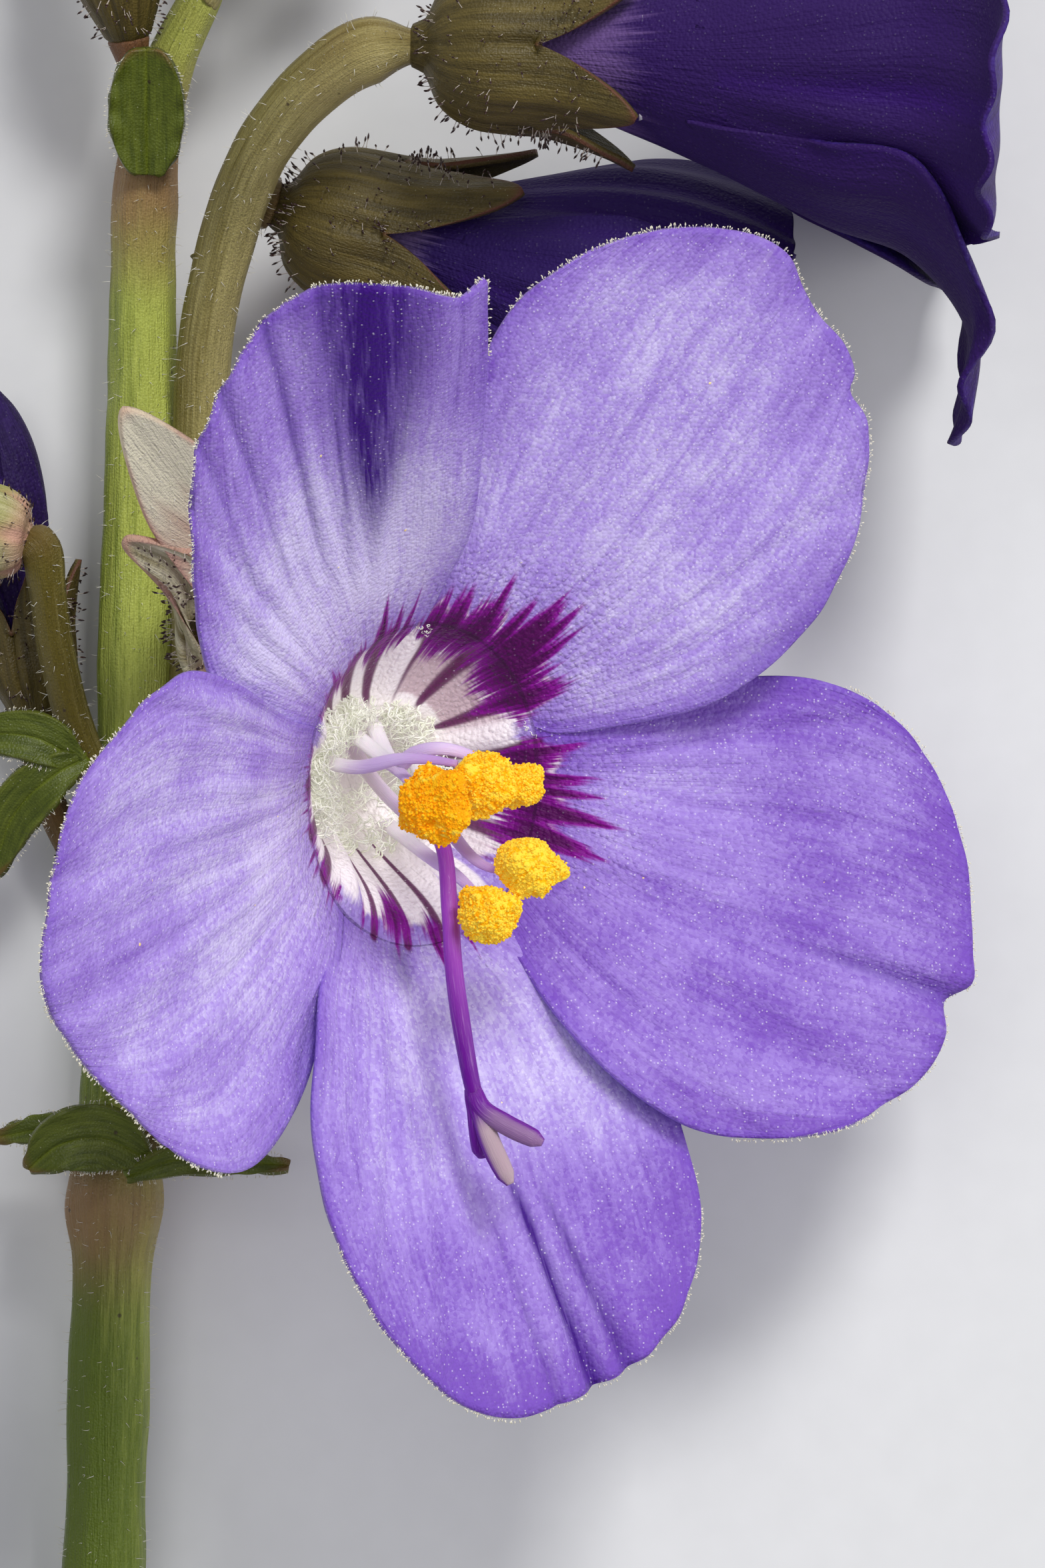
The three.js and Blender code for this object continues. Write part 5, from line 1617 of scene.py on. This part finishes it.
@dataclass(frozen=True)
class SideFlower:
    """Flower that faces sideways: a tube and five petals round its axis, with pistil and calyx.

    tube and profile hold (radius, height) steps, widths the petals' half widths, lift the outward
    step of each clockwise margin and cup the curl of both.
    """

    name: str
    base: Spot
    axis: Spot
    tube: tuple[Pair, ...]
    profile: tuple[Pair, ...]
    widths: tuple[float, ...]
    lift: float
    cup: float
    calyx_size: Pair
    sepal: Sepal
    pistil: float
    petal_finish: str
    frill: float
    stamens: bool
    seed: int
    even_heading: float = 20.0
    pleat: float = 0.12
    columns: int = 56
    rows: int = 60
    thin: float = 0.16

    def axes(self) -> Axes:
        """Axes of the flower, z along its axis and x downwards."""
        return Axes.along(self.axis, (0.0, -1.0, 0.0), self.base)

    def paleness(self, height: Points) -> Points:
        """How pale the corolla is at a height: fully near the calyx, fading out over a third of its tube."""
        end = self.tube[-1][1]
        return 0.85 * smooth((0.86 * end - height) / (0.36 * end))

    def add_petal(self, draft: Draft, number: int) -> None:
        """Add a petal: a rounded blade wrapped round the axis at the profile's radius.

        Its margins and tip carry a ripple, and shallow pleats run along it.

        Args:
            draft: the mesh that takes it.
            number: number of the petal, from 0.
        """
        u = np.linspace(-1, 1, self.columns)[None, :]
        v = np.linspace(0, 1, self.rows)[:, None]
        p = u * np.sqrt(1 - v**2 / 2)
        q = v * np.sqrt(1 - u**2 / 2)
        line = Spline(self.profile).at(q)
        wide = Spline([(w, 0) for w in self.widths]).at(q)[..., 0]
        opened = smooth(q / 0.4)
        radius = line[..., 0] + opened * (self.lift * p + self.cup * p**2)
        side = p * wide
        angle = np.radians(72 * number) - side / line[..., 0]
        edge = np.maximum(np.abs(u), v)
        wave = ripple(side * 1.1 + 3 * q, self.seed + number, 0.8, 2.6)
        pleats = ripple(side / np.maximum(wide, 0.5) * 5, self.seed + 20 + number, 1.0, 4.0)
        tip = ripple(side * 1.3, self.seed + 40 + number, 0.8, 3.0)
        radius = radius + opened * (self.frill * edge**4 * wave + self.pleat * pleats * (1 - 0.4 * q))
        points = self.axes().around(radius, angle, line[..., 1] + 0.5 * self.frill * edge**8 * tip)
        reach = q * (self.profile[-1][1] - self.profile[0][1])
        # Painted shade along each petal's midline near its foot and in the hollows of its pleats.
        draft.add_sheet(
            points, self.thin, lay=stacked(p * 5, reach, 13.0 * number), ray=stacked(side, reach, 0.0),
            margin=(1 - edge) * 4.0 + 3 * (1 - smooth(v * 4)), throat=self.paleness(line[..., 1]),
            body=0.25 * smooth(q * 3) - 0.3 * smooth((q - 0.6) * 2.4),
            deep=0.25 * hill(p, 0.12) * (1 - q) + 0.4 * smooth(-0.6 * pleats) * opened, **UNMARKED)

    def corolla(self) -> None:
        """Build the tube and the petals."""
        draft = Draft(f"{self.name}_petals")
        radius, height = Path(self.tube).at(np.linspace(0, 1, 26)).T[..., None]
        angle = -turns(100)
        rings = self.axes().around(radius, angle, height)
        lay = stacked(np.cos(angle) * 4, height - self.tube[-1][1], np.sin(angle) * 4)
        throat = np.broadcast_to(self.paleness(height), rings.shape[:2])
        draft.add_sheet(rings, self.thin, closed=True, lay=lay, ray=lay, margin=9.0, body=0.2, deep=0.0,
                        throat=throat, **UNMARKED)
        for number in range(PETALS):
            self.add_petal(draft, number)
        draft.build(self.petal_finish, Slot.PETAL, f"corolla_{self.name}")

    def pistil_piece(self, axes: Axes) -> None:
        """Build the style on the flower's axis with its ovary and three spreading stigma lobes.

        Args:
            axes: axes of the flower.
        """
        draft = Draft(f"{self.name}_pistil")
        foot, height = 1.9, self.pistil
        add_strand(draft, Path([axes.put(0.0, 0.0, z) for z in (foot, height / 2, height)]),
                   (0.2, 0.5, 0.45, 0.26, 0.24, 0.22, 0.22, 0.22, 0.22, 0.24), 40, 14, axes.x)
        for number in range(3):
            angle = number * 2 * np.pi / 3
            steps = ((0.0, height - 0.2), (0.35, height + 0.7), (1.0, height + 1.2))
            line = Path([axes.around(r, angle, z) for r, z in steps])
            add_strand(draft, line, (0.16, 0.17, 0.15, 0.06), 14, 10, UPWARDS, 0.7, 1.0, 1.3)
        draft.build("style_skin", Slot.STYLE, f"pistil_{self.name}")

    def stamen_pieces(self, axes: Axes) -> None:
        """Build the filaments between the petals and their pollen sacs.

        Args:
            axes: axes of the flower.
        """
        draft = Draft(f"{self.name}_filaments")
        for number, angle in enumerate(np.radians(72 * np.arange(PETALS) + 36)):
            line = Path([axes.around(r, angle, z) for r, z in ((2.0, 5.2), (1.36, 6.24), (1.7, 10.4))])
            add_strand(draft, line, (0.26, 0.2, 0.18, 0.16), 24, 10, axes.y + 0.3 * axes.x, 0.7)
            sac = Anther(tuple(axes.around(1.7, angle, 11.55)), (0.8, 0.58, 0.58), 0.0, rows=44, sides=56,
                         grains=260, grain=0.12)
            sac.build(f"{self.name}_anther_{number + 1}", f"anther_{self.name}_{number + 1}",
                      self.seed + 80 + number)
        draft.build("filament_skin", Slot.STYLE)

    def build(self) -> None:
        """Build the corolla, the pistil, the calyx and, in an open flower, the stamens."""
        axes = self.axes()
        self.corolla()
        self.pistil_piece(axes)
        calyx = Calyx(axes, *self.calyx_size, (self.sepal,) * PETALS, self.even_heading)
        calyx.build(f"{self.name}_calyx", "sepal_dark", f"calyx_{self.name}", 420, self.seed + 60)
        if self.stamens:
            self.stamen_pieces(axes)


SIDE_FLOWERS = (
    SideFlower(
        name="bell", base=(-2.3, 18.7, 9.15), axis=(1.0, -0.03, 0.0),
        tube=((0.9, 0.9), (1.25, 1.2), (1.3, 3.0), (2.1, 5.4), (2.95, 7.5)),
        profile=((2.6, 6.7), (4.05, 9.9), (4.9, 12.3), (6.9, 13.9), (9.5, 13.6)),
        widths=(2.05, 3.9, 5.3, 5.6, 4.6), lift=0.45, cup=-0.25, calyx_size=(2.4, 2.7),
        sepal=Sepal(2.7, 18), pistil=12.2, petal_finish="bell_petal", frill=0.32, stamens=True, seed=300),
    SideFlower(
        name="half_open", base=(-6.0, 14.9, 4.3), axis=(1.0, -0.28, 0.0),
        tube=((0.9, 0.9), (1.2, 1.2), (1.25, 2.6), (1.65, 4.0), (2.12, 5.45)),
        profile=((1.83, 4.6), (2.95, 7.3), (3.4, 9.4), (3.4, 11.3), (3.2, 12.8)),
        widths=(1.5, 2.7, 3.3, 3.1, 2.2), lift=0.5, cup=-0.1, calyx_size=(2.35, 2.6),
        sepal=Sepal(3.4, 21), pistil=10.5, petal_finish="young_petal", frill=0.2, stamens=False, seed=400),
)


# Stem, buds and bracts


@dataclass(frozen=True)
class Branch:
    """Round green branch: its route, its radii, a direction that it never runs along, and its colour."""

    route: tuple[Spot, ...]
    thin: float
    thick: float
    reference: Spot = UPWARDS
    tone: float = 0.0
    blush: float = 0.1

    def radius(self, share: Points) -> Points:
        """Radius: thin, swelling to thick near the flower and a little at the root, round at its end."""
        full = self.thin + (self.thick - self.thin) * smooth((share - 0.75) * 4)
        full = full + 0.25 * (1 - smooth(share * 8))
        return full * (1 - 0.5 * smooth((share - 0.94) / 0.06) ** 2)


BRANCHES = {
    "main": Branch(((-10.5, -10.2, 2.4), (-9.2, -8.2, 2.5), (-8.3, -4, 2.2), (-7.6, 0.5, 2.0),
                    (-7.5, 4.6, 1.2), (-7.5, 6.5, 1.5), (-7.3, 6.5, 2.6), (-7.11, 5.95, 3.42)),
                   0.62, 0.8, SIDEWAYS, 0.0, 0.3),
    "bell": Branch(((-10.2, -4.2, 2.4), (-9.5, -2.0, 2.7), (-8.75, 0.8, 3.0), (-8.5, 3.6, 3.1),
                    (-8.5, 6.0, 3.2), (-8.4, 9.1, 3.6), (-8.2, 11.7, 4.2), (-7.5, 14.5, 5.4),
                    (-6.6, 16.4, 6.9), (-5.3, 17.8, 8.2), (-3.9, 18.6, 9.05), (-2.66, 18.71, 9.15)),
                   0.72, 0.85, UPWARDS, 0.15, 0.0),
    "half_open": Branch(((-7.9, 13.4, 4.8), (-7.2, 15.2, 4.5), (-6.38, 15.02, 4.32)), 0.5, 0.75),
    "left": Branch(((-10.4, -1.0, 2.6), (-11.4, 0.8, 3.4), (-12.1, 3.4, 4.1), (-12.35, 5.2, 4.4),
                    (-12.5, 6.1, 4.5), (-12.95, 6.5, 4.5)), 0.48, 0.55, UPWARDS, -0.35, 0.0),
    "side": Branch(((-10.5, -4.2, 2.0), (-11.6, -2.2, 1.5), (-12.5, -0.2, 1.765), (-12.75, 1.7, 1.765)),
                   0.42, 0.6, UPWARDS, -0.3, 0.5),
    "top_left": Branch(((-9.8, 15.9, 3.4), (-10.0, 17.9, 3.9), (-10.25, 19.5, 4.3)),
                       0.4, 0.55, UPWARDS, -0.3, 0.9),
    "top_side": Branch(((-8.3, 20.6, 4.1), (-6.6, 21.7, 4.6), (-5.3, 23.1, 5.2)), 0.36, 0.45),
}


@dataclass(frozen=True)
class Limb:
    """Stem or pedicel ready for its mesh: its line, the radii of its rings and its sides.

    reference is a direction that it never runs along, seed sets its streaks and unevenness apart.
    """

    path: Path
    radius: Points
    sides: int
    reference: Spot
    seed: float


@dataclass(frozen=True)
class Stem:
    """Main stem with its nodes and pedicels, and their fine hairs."""

    route: tuple = ((-12.2, -60, 1.16), (-11.8, -46, 1.3), (-11.3, -32, 1.55), (-11.0, -20.6, 1.9),
                    (-10.7, -10.7, 2.3), (-10.2, -3, 2.55), (-10.1, 3.1, 2.6), (-9.96, 8.3, 2.7),
                    (-9.93, 12.7, 3.0), (-9.75, 16.4, 3.5), (-9.2, 18.7, 3.8), (-8.2, 20.8, 4.1),
                    (-7.4, 23.2, 4.3))
    radii: tuple = (1.14, 1.12, 1.1, 1.1, 1.1, 1.08, 1.06, 1.05, 1.08, 1.04, 0.95, 0.72, 0.45)
    nodes: tuple = ((0.585, 0.22), (0.9, 0.1))
    node_spread: float = 0.014
    ridges: int = 9
    ridge: float = 0.018
    uneven: float = 0.022
    relief: float = 0.012
    sides: int = 48
    rows: int = 420
    branch_sides: int = 28
    stem_hairs: float = 26.0
    branch_hairs: float = 22.0

    def limbs(self) -> list[Limb]:
        """The stem, whose radii swell round at each node, and the pedicels."""
        share = np.linspace(0, 1, self.rows)
        radius = Spline([(r, 0) for r in self.radii]).at(share)[..., 0]
        for place, swell in self.nodes:
            radius = radius + swell * hill(share - place, self.node_spread)
        limbs = [Limb(Path(self.route), radius, self.sides, UPWARDS, 0.0)]
        for number, branch in enumerate(BRANCHES.values()):
            path = Path(branch.route)
            share = np.linspace(0, 1, int(max(60, path.length * 8)))
            limbs.append(Limb(path, branch.radius(share), self.branch_sides, branch.reference,
                              11.0 * (number + 1)))
        return limbs

    def rings(self, limb: Limb, share: Points, angle: Points) -> Points:
        """Rings of one limb: its radii times low ridges, a slow unevenness and a fine relief.

        Args:
            limb: the limb.
            share: share of the length of each ring.
            angle: angle of each side.

        Returns:
            Points as rings by sides.
        """
        reach = share[:, None] * limb.path.length
        ridge = 1 + self.ridge * np.cos(self.ridges * angle[None, :] + 0.05 * reach)
        uneven = 1 + self.uneven * ripple(reach[:, 0], int(limb.seed) + 7, 0.2, 1.4)[:, None]
        fine = ripple(reach + 2 * np.cos(angle)[None, :], int(limb.seed) + 8, 1.0, 4.0)
        full = limb.radius[:, None] * ridge * uneven * (1 + self.relief * fine)
        return tube_rings(limb.path, share, angle, full, limb.reference)

    def build(self) -> None:
        """Build the stem, its pedicels, and the hairs on them."""
        main, pedicels, hairs = Draft("flower_stem"), Draft("pedicels"), Draft("stem_hairs")
        draw = np.random.default_rng(71)
        for number, (limb, branch) in enumerate(zip(self.limbs(), (None, *BRANCHES.values()))):
            share, angle = np.linspace(0, 1, len(limb.radius)), turns(limb.sides)
            points = self.rings(limb, share, angle)
            lay = stacked(np.cos(angle) * 2.4, (share * limb.path.length)[:, None],
                          np.sin(angle) * 2.4 + limb.seed)
            y = points[..., 1]
            # Painted light and shade: the cosine makes each limb paler on one side and darker on the other.
            if branch is None:
                # The main stem also darkens towards its foot, painted shade.
                body = 0.3 * smooth((y + 8) / 12) - 0.4 * smooth((-10 - y) / 9) - 0.28 * np.cos(angle)
                blush = sum(0.7 * hill(share - place, self.node_spread * 2.2) for place, _ in self.nodes)
                blush = blush[:, None] + 0.3 * smooth((y - 14) / 3)
            else:
                body = branch.tone - 0.25 * np.cos(angle)[None, :]
                blush = branch.blush + 0.4 * smooth((share - 0.75) * 4)[:, None]
            draft = main if branch is None else pedicels
            draft.add_tube(points, lay=lay, body=body, blush=blush)
            count = int(limb.path.length * (self.stem_hairs if branch is None else self.branch_hairs))
            row = draw.integers(2, len(share) - 2, count)
            column = draw.integers(0, limb.sides, count)
            roots = points[row, column]
            outward = unit(roots - limb.path.at(share)[row])
            lean = outward + draw.normal(0, 0.22, (count, 3))
            lengths = draw.uniform(0.1, 0.3, count)
            FINE_HAIR.grow(hairs, roots - 0.02 * outward, lean, lengths, 0.012, 90 + number)
        main.build("stem_skin", Slot.STEM, "stem")
        pedicels.build("pedicel_skin", Slot.STEM)
        hairs.build("clear_hair", Slot.STEM)


@dataclass(frozen=True)
class Bud:
    """Bud at the end of a route, closed and green or with its corolla rolled up out of the calyx."""

    name: str
    route: tuple
    radius: float
    length: float
    lean: Spot = (0.0, 0.0, 0.0)
    cup: Pair = (0.0, 0.0)
    sepal: Sepal = Sepal(0.0, 0.0)
    seat_gap: float = 0.3
    foot: float = 0.9
    rows: int = 90
    sides: int = 100
    hairs: int = 300
    furrow: float = 0.15
    keel: float = 0.03
    overlap: float = 0.09

    def axes(self) -> Axes:
        """Axes that go on from the end of the route, a seat's gap beyond it."""
        end, before = np.asarray(self.route[-1], float), np.asarray(self.route[-2], float)
        run = unit(end - before)
        return Axes.along(run + np.asarray(self.lean), UPWARDS, end + run * self.seat_gap)

    def add_turned(self, draft: Draft, profile: tuple, relief: Points, **layers: Points) -> None:
        """Add a body of revolution with relief: radius from the profile times one plus the relief.

        Args:
            draft: the mesh that takes it.
            profile: radius and height from foot to tip.
            relief: relief as rows by sides.
            layers: one number or vector for each vertex of its rings.
        """
        radius, height = Path(profile).at(np.linspace(0, 1, self.rows)).T[..., None]
        draft.add_tube(self.axes().around(radius * (1 + relief), turns(self.sides), height), **layers)

    def build_closed(self) -> None:
        """Build a closed bud: five sepals, keeled, with a furrow between each two, over a pointed knob."""
        draft = Draft(f"{self.name}_sepals")
        steps = ((0.3, 0.0), (0.62, 0.03), (0.8, 0.1), (0.96, 0.3), (0.97, 0.5), (0.78, 0.72), (0.42, 0.9),
                 (0.12, 1.0))
        profile = ((0.2, -0.42), *((r * self.radius, z * self.length) for r, z in steps))
        angle, share = turns(self.sides), np.linspace(0, 1, self.rows)[:, None]
        furrow = np.abs(np.cos(PETALS / 2 * angle))[None, :]
        rise = smooth(share * 4)
        relief = -self.furrow * rise * furrow**9 + self.keel * rise * np.cos(PETALS * angle)[None, :] - 0.02
        relief = relief + 0.012 * ripple(share * 14, 5, 1.0, 4.0) * rise
        ends = smooth((share - 0.55) * 2.5) + smooth((0.4 - share) * 4)
        self.add_turned(draft, profile, relief, body=-0.25 * furrow**4,
                        lay=stacked(np.cos(angle) * 3, share * self.length, np.sin(angle) * 3),
                        blush=0.75 * ends + 0.4 * furrow**6 - 0.1)
        draft.build("bud_skin", Slot.BUD, self.name)
        self.build_hairs(f"{self.name}_hairs", profile)

    def build_hairs(self, name: str, profile: tuple) -> None:
        """Build gland-headed hairs that stand out of the bud.

        Args:
            name: name of the piece.
            profile: radius and height of the bud from foot to tip.
        """
        draw = np.random.default_rng(len(name))
        share, angle = draw.uniform(0.06, 0.97, self.hairs), draw.uniform(0, 2 * np.pi, self.hairs)
        radius, height = Path(profile).at(share).T
        axes = self.axes()
        roots = axes.around(radius * 0.97, angle, height)
        outward = unit(roots - axes.put(0.0, 0.0, height - 0.2 * radius))
        draft = Draft(name)
        HEADED_HAIR.grow(draft, roots, outward + draw.normal(0, 0.2, (self.hairs, 3)),
                         draw.uniform(0.14, 0.34, self.hairs), 0.015, self.hairs)
        draft.build("dark_headed_hair", Slot.BUD)

    def build_rolled(self) -> None:
        """Build a rolled bud: a spindle of five petals wound round each other, in its calyx."""
        draft = Draft(f"{self.name}_petals")
        steps = ((0.3, 0.0), (0.52, 0.03), (0.6, 0.2), (0.9, 0.45), (1.0, 0.62), (0.85, 0.8), (0.5, 0.93),
                 (0.14, 1.0))
        profile = tuple((r * self.radius * 0.96, self.foot + z * (self.length - self.foot)) for r, z in steps)
        angle, share = turns(self.sides)[None, :], np.linspace(0, 1, self.rows)[:, None]
        height = self.foot + share * (self.length - self.foot)
        turn = (PETALS * (angle + 0.22 * height)) % (2 * np.pi) / (2 * np.pi)
        relief = self.overlap * smooth(share * 3) * (turn**2 - smooth((turn - 0.9) * 10))
        lay = stacked(turn * 3, height, np.floor(PETALS * angle / (2 * np.pi)))
        # Painted shade darkens each petal's edge where it drops onto the next.
        self.add_turned(draft, profile, relief, lay=lay, ray=lay, margin=0.1 + 1.5 * np.abs(1 - turn),
                        body=0.25 * turn, deep=0.5 * smooth((turn - 0.85) * 6), throat=0.0, **UNMARKED)
        draft.build("rolled_petal", Slot.PETAL, f"corolla_{self.name}")
        calyx = Calyx(self.axes(), *self.cup, (self.sepal,) * PETALS, 20.0, thin=0.17, columns=22,
                      cup_rows=14, tooth_rows=20)
        calyx.build(f"{self.name}_calyx", "sepal_dark", f"calyx_{self.name}", 240, 500 + len(self.name))


CLOSED_BUDS = (
    Bud("bud_left", BRANCHES["left"].route, 1.4, 4.0, lean=(-0.5, -0.45, -0.1), seat_gap=-0.2),
    Bud("bud_top_end", Stem.route, 1.35, 4.2),
    Bud("bud_top_side", BRANCHES["top_side"].route, 1.15, 3.4),
)
ROLLED_BUDS = (
    Bud("side_bud", BRANCHES["side"].route, 1.02, 8.4, cup=(1.42, 2.0), sepal=Sepal(1.8, 13)),
    Bud("top_bud", BRANCHES["top_left"].route, 1.02, 8.2, cup=(1.48, 2.6), sepal=Sepal(2.2, 13)),
)


@dataclass(frozen=True)
class Leaflet:
    """Leaflet of a bract: its midrib, width, widest place, lift of the margins, and how blunt it is."""

    route: tuple
    width: float
    belly: float
    fold: float
    tip: float = 0.1
    bulge: float = 0.8
    columns: int = 44
    rows: int = 64
    thin: float = 0.2
    furrow: float = 0.07
    wave: float = 0.05
    hairs: int = 90

    def surface(self, u: Points, v: Points, seed: int) -> tuple[Points, dict[str, Points]]:
        """Points across (-1 to 1) and along (0 to 1).

        The half width is a sine to a power up to the belly and back; the margins lift with the
        square of the distance across, a furrow marks the midrib, and side veins slant off it.

        Args:
            u: shares across.
            v: shares along.
            seed: seed of the margin's wave.

        Returns:
            The points and the layers.
        """
        u, v = np.broadcast_arrays(u, v)
        path = Path(self.route)
        share = np.where(v < self.belly, v / self.belly, (1 - v) / (1 - self.belly))
        half = self.tip + (self.width / 2 - self.tip) * np.sin(np.clip(share, 0, 1) * np.pi / 2) ** self.bulge
        travel = path.along(v)
        side = unit(np.cross(travel, UPWARDS))
        normal = unit(np.cross(side, travel))
        slant = np.sin((v * path.length - np.abs(u) * half * 1.2) * 9)
        furrow = -self.furrow * hill(u * half, 0.07) - 0.002 * slant * smooth(np.abs(u) * 4) * (1 - u**2)
        wave = self.wave * u**4 * ripple(v * 9 + np.sign(u), seed, 1.0, 3.5)
        lift = self.fold * half * u**2 + furrow + wave
        margin = (1 - np.abs(u)) * half + 0.1
        return path.at(v) + (u * half)[..., None] * side + lift[..., None] * normal, {
            "lay": stacked(u * half * 2, v * path.length, float(seed)),
            "blush": 0.9 * np.exp(-margin / 0.12) + 0.5 * smooth((v - 0.8) * 5) - 0.15,
            "body": 0.6 * hill(u * half, 0.06) - 0.03 * slant}

    def add_to(self, draft: Draft, hairs: Draft, draw: np.random.Generator, seed: int) -> None:
        """Add the leaflet to a mesh, and the hairs on its margins to another.

        Args:
            draft: the mesh that takes the leaflet.
            hairs: the mesh that takes its hairs.
            draw: where the hairs' places are drawn from.
            seed: seed of the margin's wave and of the hairs' bends.
        """
        grid = np.linspace(-1, 1, self.columns)[None, :], np.linspace(0, 1, self.rows)[:, None]
        points, layers = self.surface(*grid, seed)
        draft.add_sheet(points, self.thin, **layers)
        edge = draw.choice([-1.0, 1.0], self.hairs)
        spot = draw.uniform(0.04, 0.98, self.hairs)
        root, _ = self.surface(edge, spot, seed)
        inner, _ = self.surface(edge * 0.6, spot, seed)
        outward = unit(root - inner) + draw.normal(0, 0.25, (self.hairs, 3))
        HEADED_HAIR.grow(hairs, root, outward, draw.uniform(0.07, 0.17, self.hairs), 0.008, seed)


BRACTS = {
    "bract_lower": (
        Leaflet(((-9.7, -9.8, 4.0), (-10.9, -9.2, 4.3), (-12.0, -9.35, 4.4), (-12.85, -10.0, 4.1)),
                1.75, 0.45, 0.25),
        Leaflet(((-10.0, -9.9, 3.8), (-11.9, -9.0, 3.6), (-13.75, -9.2, 3.2)), 0.85, 0.5, 0.1),
        Leaflet(((-10.3, -10.2, 4.05), (-8.9, -9.75, 4.3), (-7.6, -9.8, 4.1), (-6.1, -9.95, 3.5)),
                0.8, 0.35, 0.25)),
    "bract_left": (
        Leaflet(((-11.4, 0.5, 4.55), (-12.6, 1.2, 4.9), (-14.6, 1.3, 4.55)), 1.3, 0.4, 0.2),
        Leaflet(((-11.3, 0.7, 4.55), (-12.2, 0.2, 4.8), (-13.2, -0.8, 4.35), (-13.8, -2.4, 3.65)),
                1.4, 0.45, 0.2)),
    "bract_top": (
        Leaflet(((-9.72, 15.8, 4.6), (-9.72, 17.2, 5.05), (-9.7, 18.3, 5.5), (-9.7, 18.95, 5.8)),
                1.95, 0.5, 0.2, tip=0.3, bulge=0.55),),
}


def build_bracts() -> None:
    """Build the bracts at the nodes, each with hairs on its margins."""
    for number, (name, leaflets) in enumerate(BRACTS.items()):
        draft, hairs = Draft(f"{name}_leaflets"), Draft(f"{name}_hairs")
        draw = np.random.default_rng(600 + number)
        for place, leaf in enumerate(leaflets):
            leaf.add_to(draft, hairs, draw, 610 + 10 * number + place)
        draft.build("leaf_skin", Slot.LEAF, name)
        hairs.build("clear_hair", Slot.LEAF)


# Studio


@dataclass(frozen=True)
class Studio:
    """Pale floor, soft lights and the camera that looks straight down."""

    camera_height: float = 0.2078
    lens: float = 180.0
    sensor: float = 36.0
    nearest: float = 0.01
    floor_half: float = 1.5
    floor_grain: float = 900.0
    floor_tones: tuple[Colour, ...] = (srgb(226, 226, 226), srgb(232, 232, 232))
    target: tuple = (0.0, 0.012, 0.01)
    sky: tuple = (0.9, 0.92, 1.0)
    sky_strength: float = 0.3
    lamps: tuple = (("key", (0.16, 0.40, 0.50), 0.16, 2.35), ("front", (-0.12, 0.12, 0.62), 0.3, 0.6),
                    ("fill", (0.52, -0.05, 0.34), 0.3, 1.25))

    def floor(self) -> None:
        """Plain pale floor under the spray."""
        coat = Coat("pale_floor")
        colour = coat.blend(coat.noise(coat.place(), self.floor_grain), *self.floor_tones)
        half = self.floor_half
        mesh = bpy.data.meshes.new("floor")
        mesh.from_pydata([(-half, -half, 0), (half, -half, 0), (half, half, 0), (-half, half, 0)], [],
                         [(0, 1, 2, 3)])
        mesh.materials.append(coat.wear({"Base Color": colour, "Roughness": 0.9}))
        floor = bpy.data.objects.new("floor", mesh)
        bpy.context.scene.collection.objects.link(floor)

    def lamp(self, name: str, place: Points, size: float, power: float) -> None:
        """Square area light, turned to the spray.

        Args:
            name: its name.
            place: its place in metres.
            size: its side in metres.
            power: its power in watts.
        """
        light = bpy.data.lights.new(name, "AREA")
        light.shape = "SQUARE"
        light.size = size
        light.energy = power
        lamp = bpy.data.objects.new(name, light)
        bpy.context.scene.collection.objects.link(lamp)
        axes = Axes.along(np.asarray(place) - np.asarray(self.target), SIDEWAYS, place)
        matrix = np.eye(4)
        matrix[:3] = np.column_stack([axes.x, axes.y, axes.z, place])
        lamp.matrix_world = Matrix(matrix.tolist())

    def build(self) -> None:
        """Set the camera, the lights, the world and the floor."""
        scene = bpy.context.scene
        data = bpy.data.cameras.new("camera")
        data.lens = self.lens
        data.sensor_width = self.sensor
        data.sensor_fit = "AUTO"
        data.clip_start = self.nearest
        camera = bpy.data.objects.new("camera", data)
        camera.location = (ORIGIN[0] * METRE, ORIGIN[1] * METRE, self.camera_height)
        scene.collection.objects.link(camera)
        scene.camera = camera
        for lamp in self.lamps:
            self.lamp(*lamp)
        world = bpy.data.worlds.new("studio")
        world.use_nodes = True
        sky = {"Color": self.sky, "Strength": self.sky_strength}
        Shader(world.node_tree).set(world.node_tree.nodes["Background"], sky)
        scene.world = world
        scene.view_settings.view_transform = "Standard"
        self.floor()


def main() -> None:
    """Build the studio and the spray."""
    logging.basicConfig(level=logging.INFO, format="%(name)s %(message)s")
    Studio().build()
    MainFlower().build()
    for flower in SIDE_FLOWERS:
        flower.build()
    Stem().build()
    for bud in CLOSED_BUDS:
        bud.build_closed()
    for bud in ROLLED_BUDS:
        bud.build_rolled()
    build_bracts()
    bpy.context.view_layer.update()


if __name__ == "__main__":
    main()
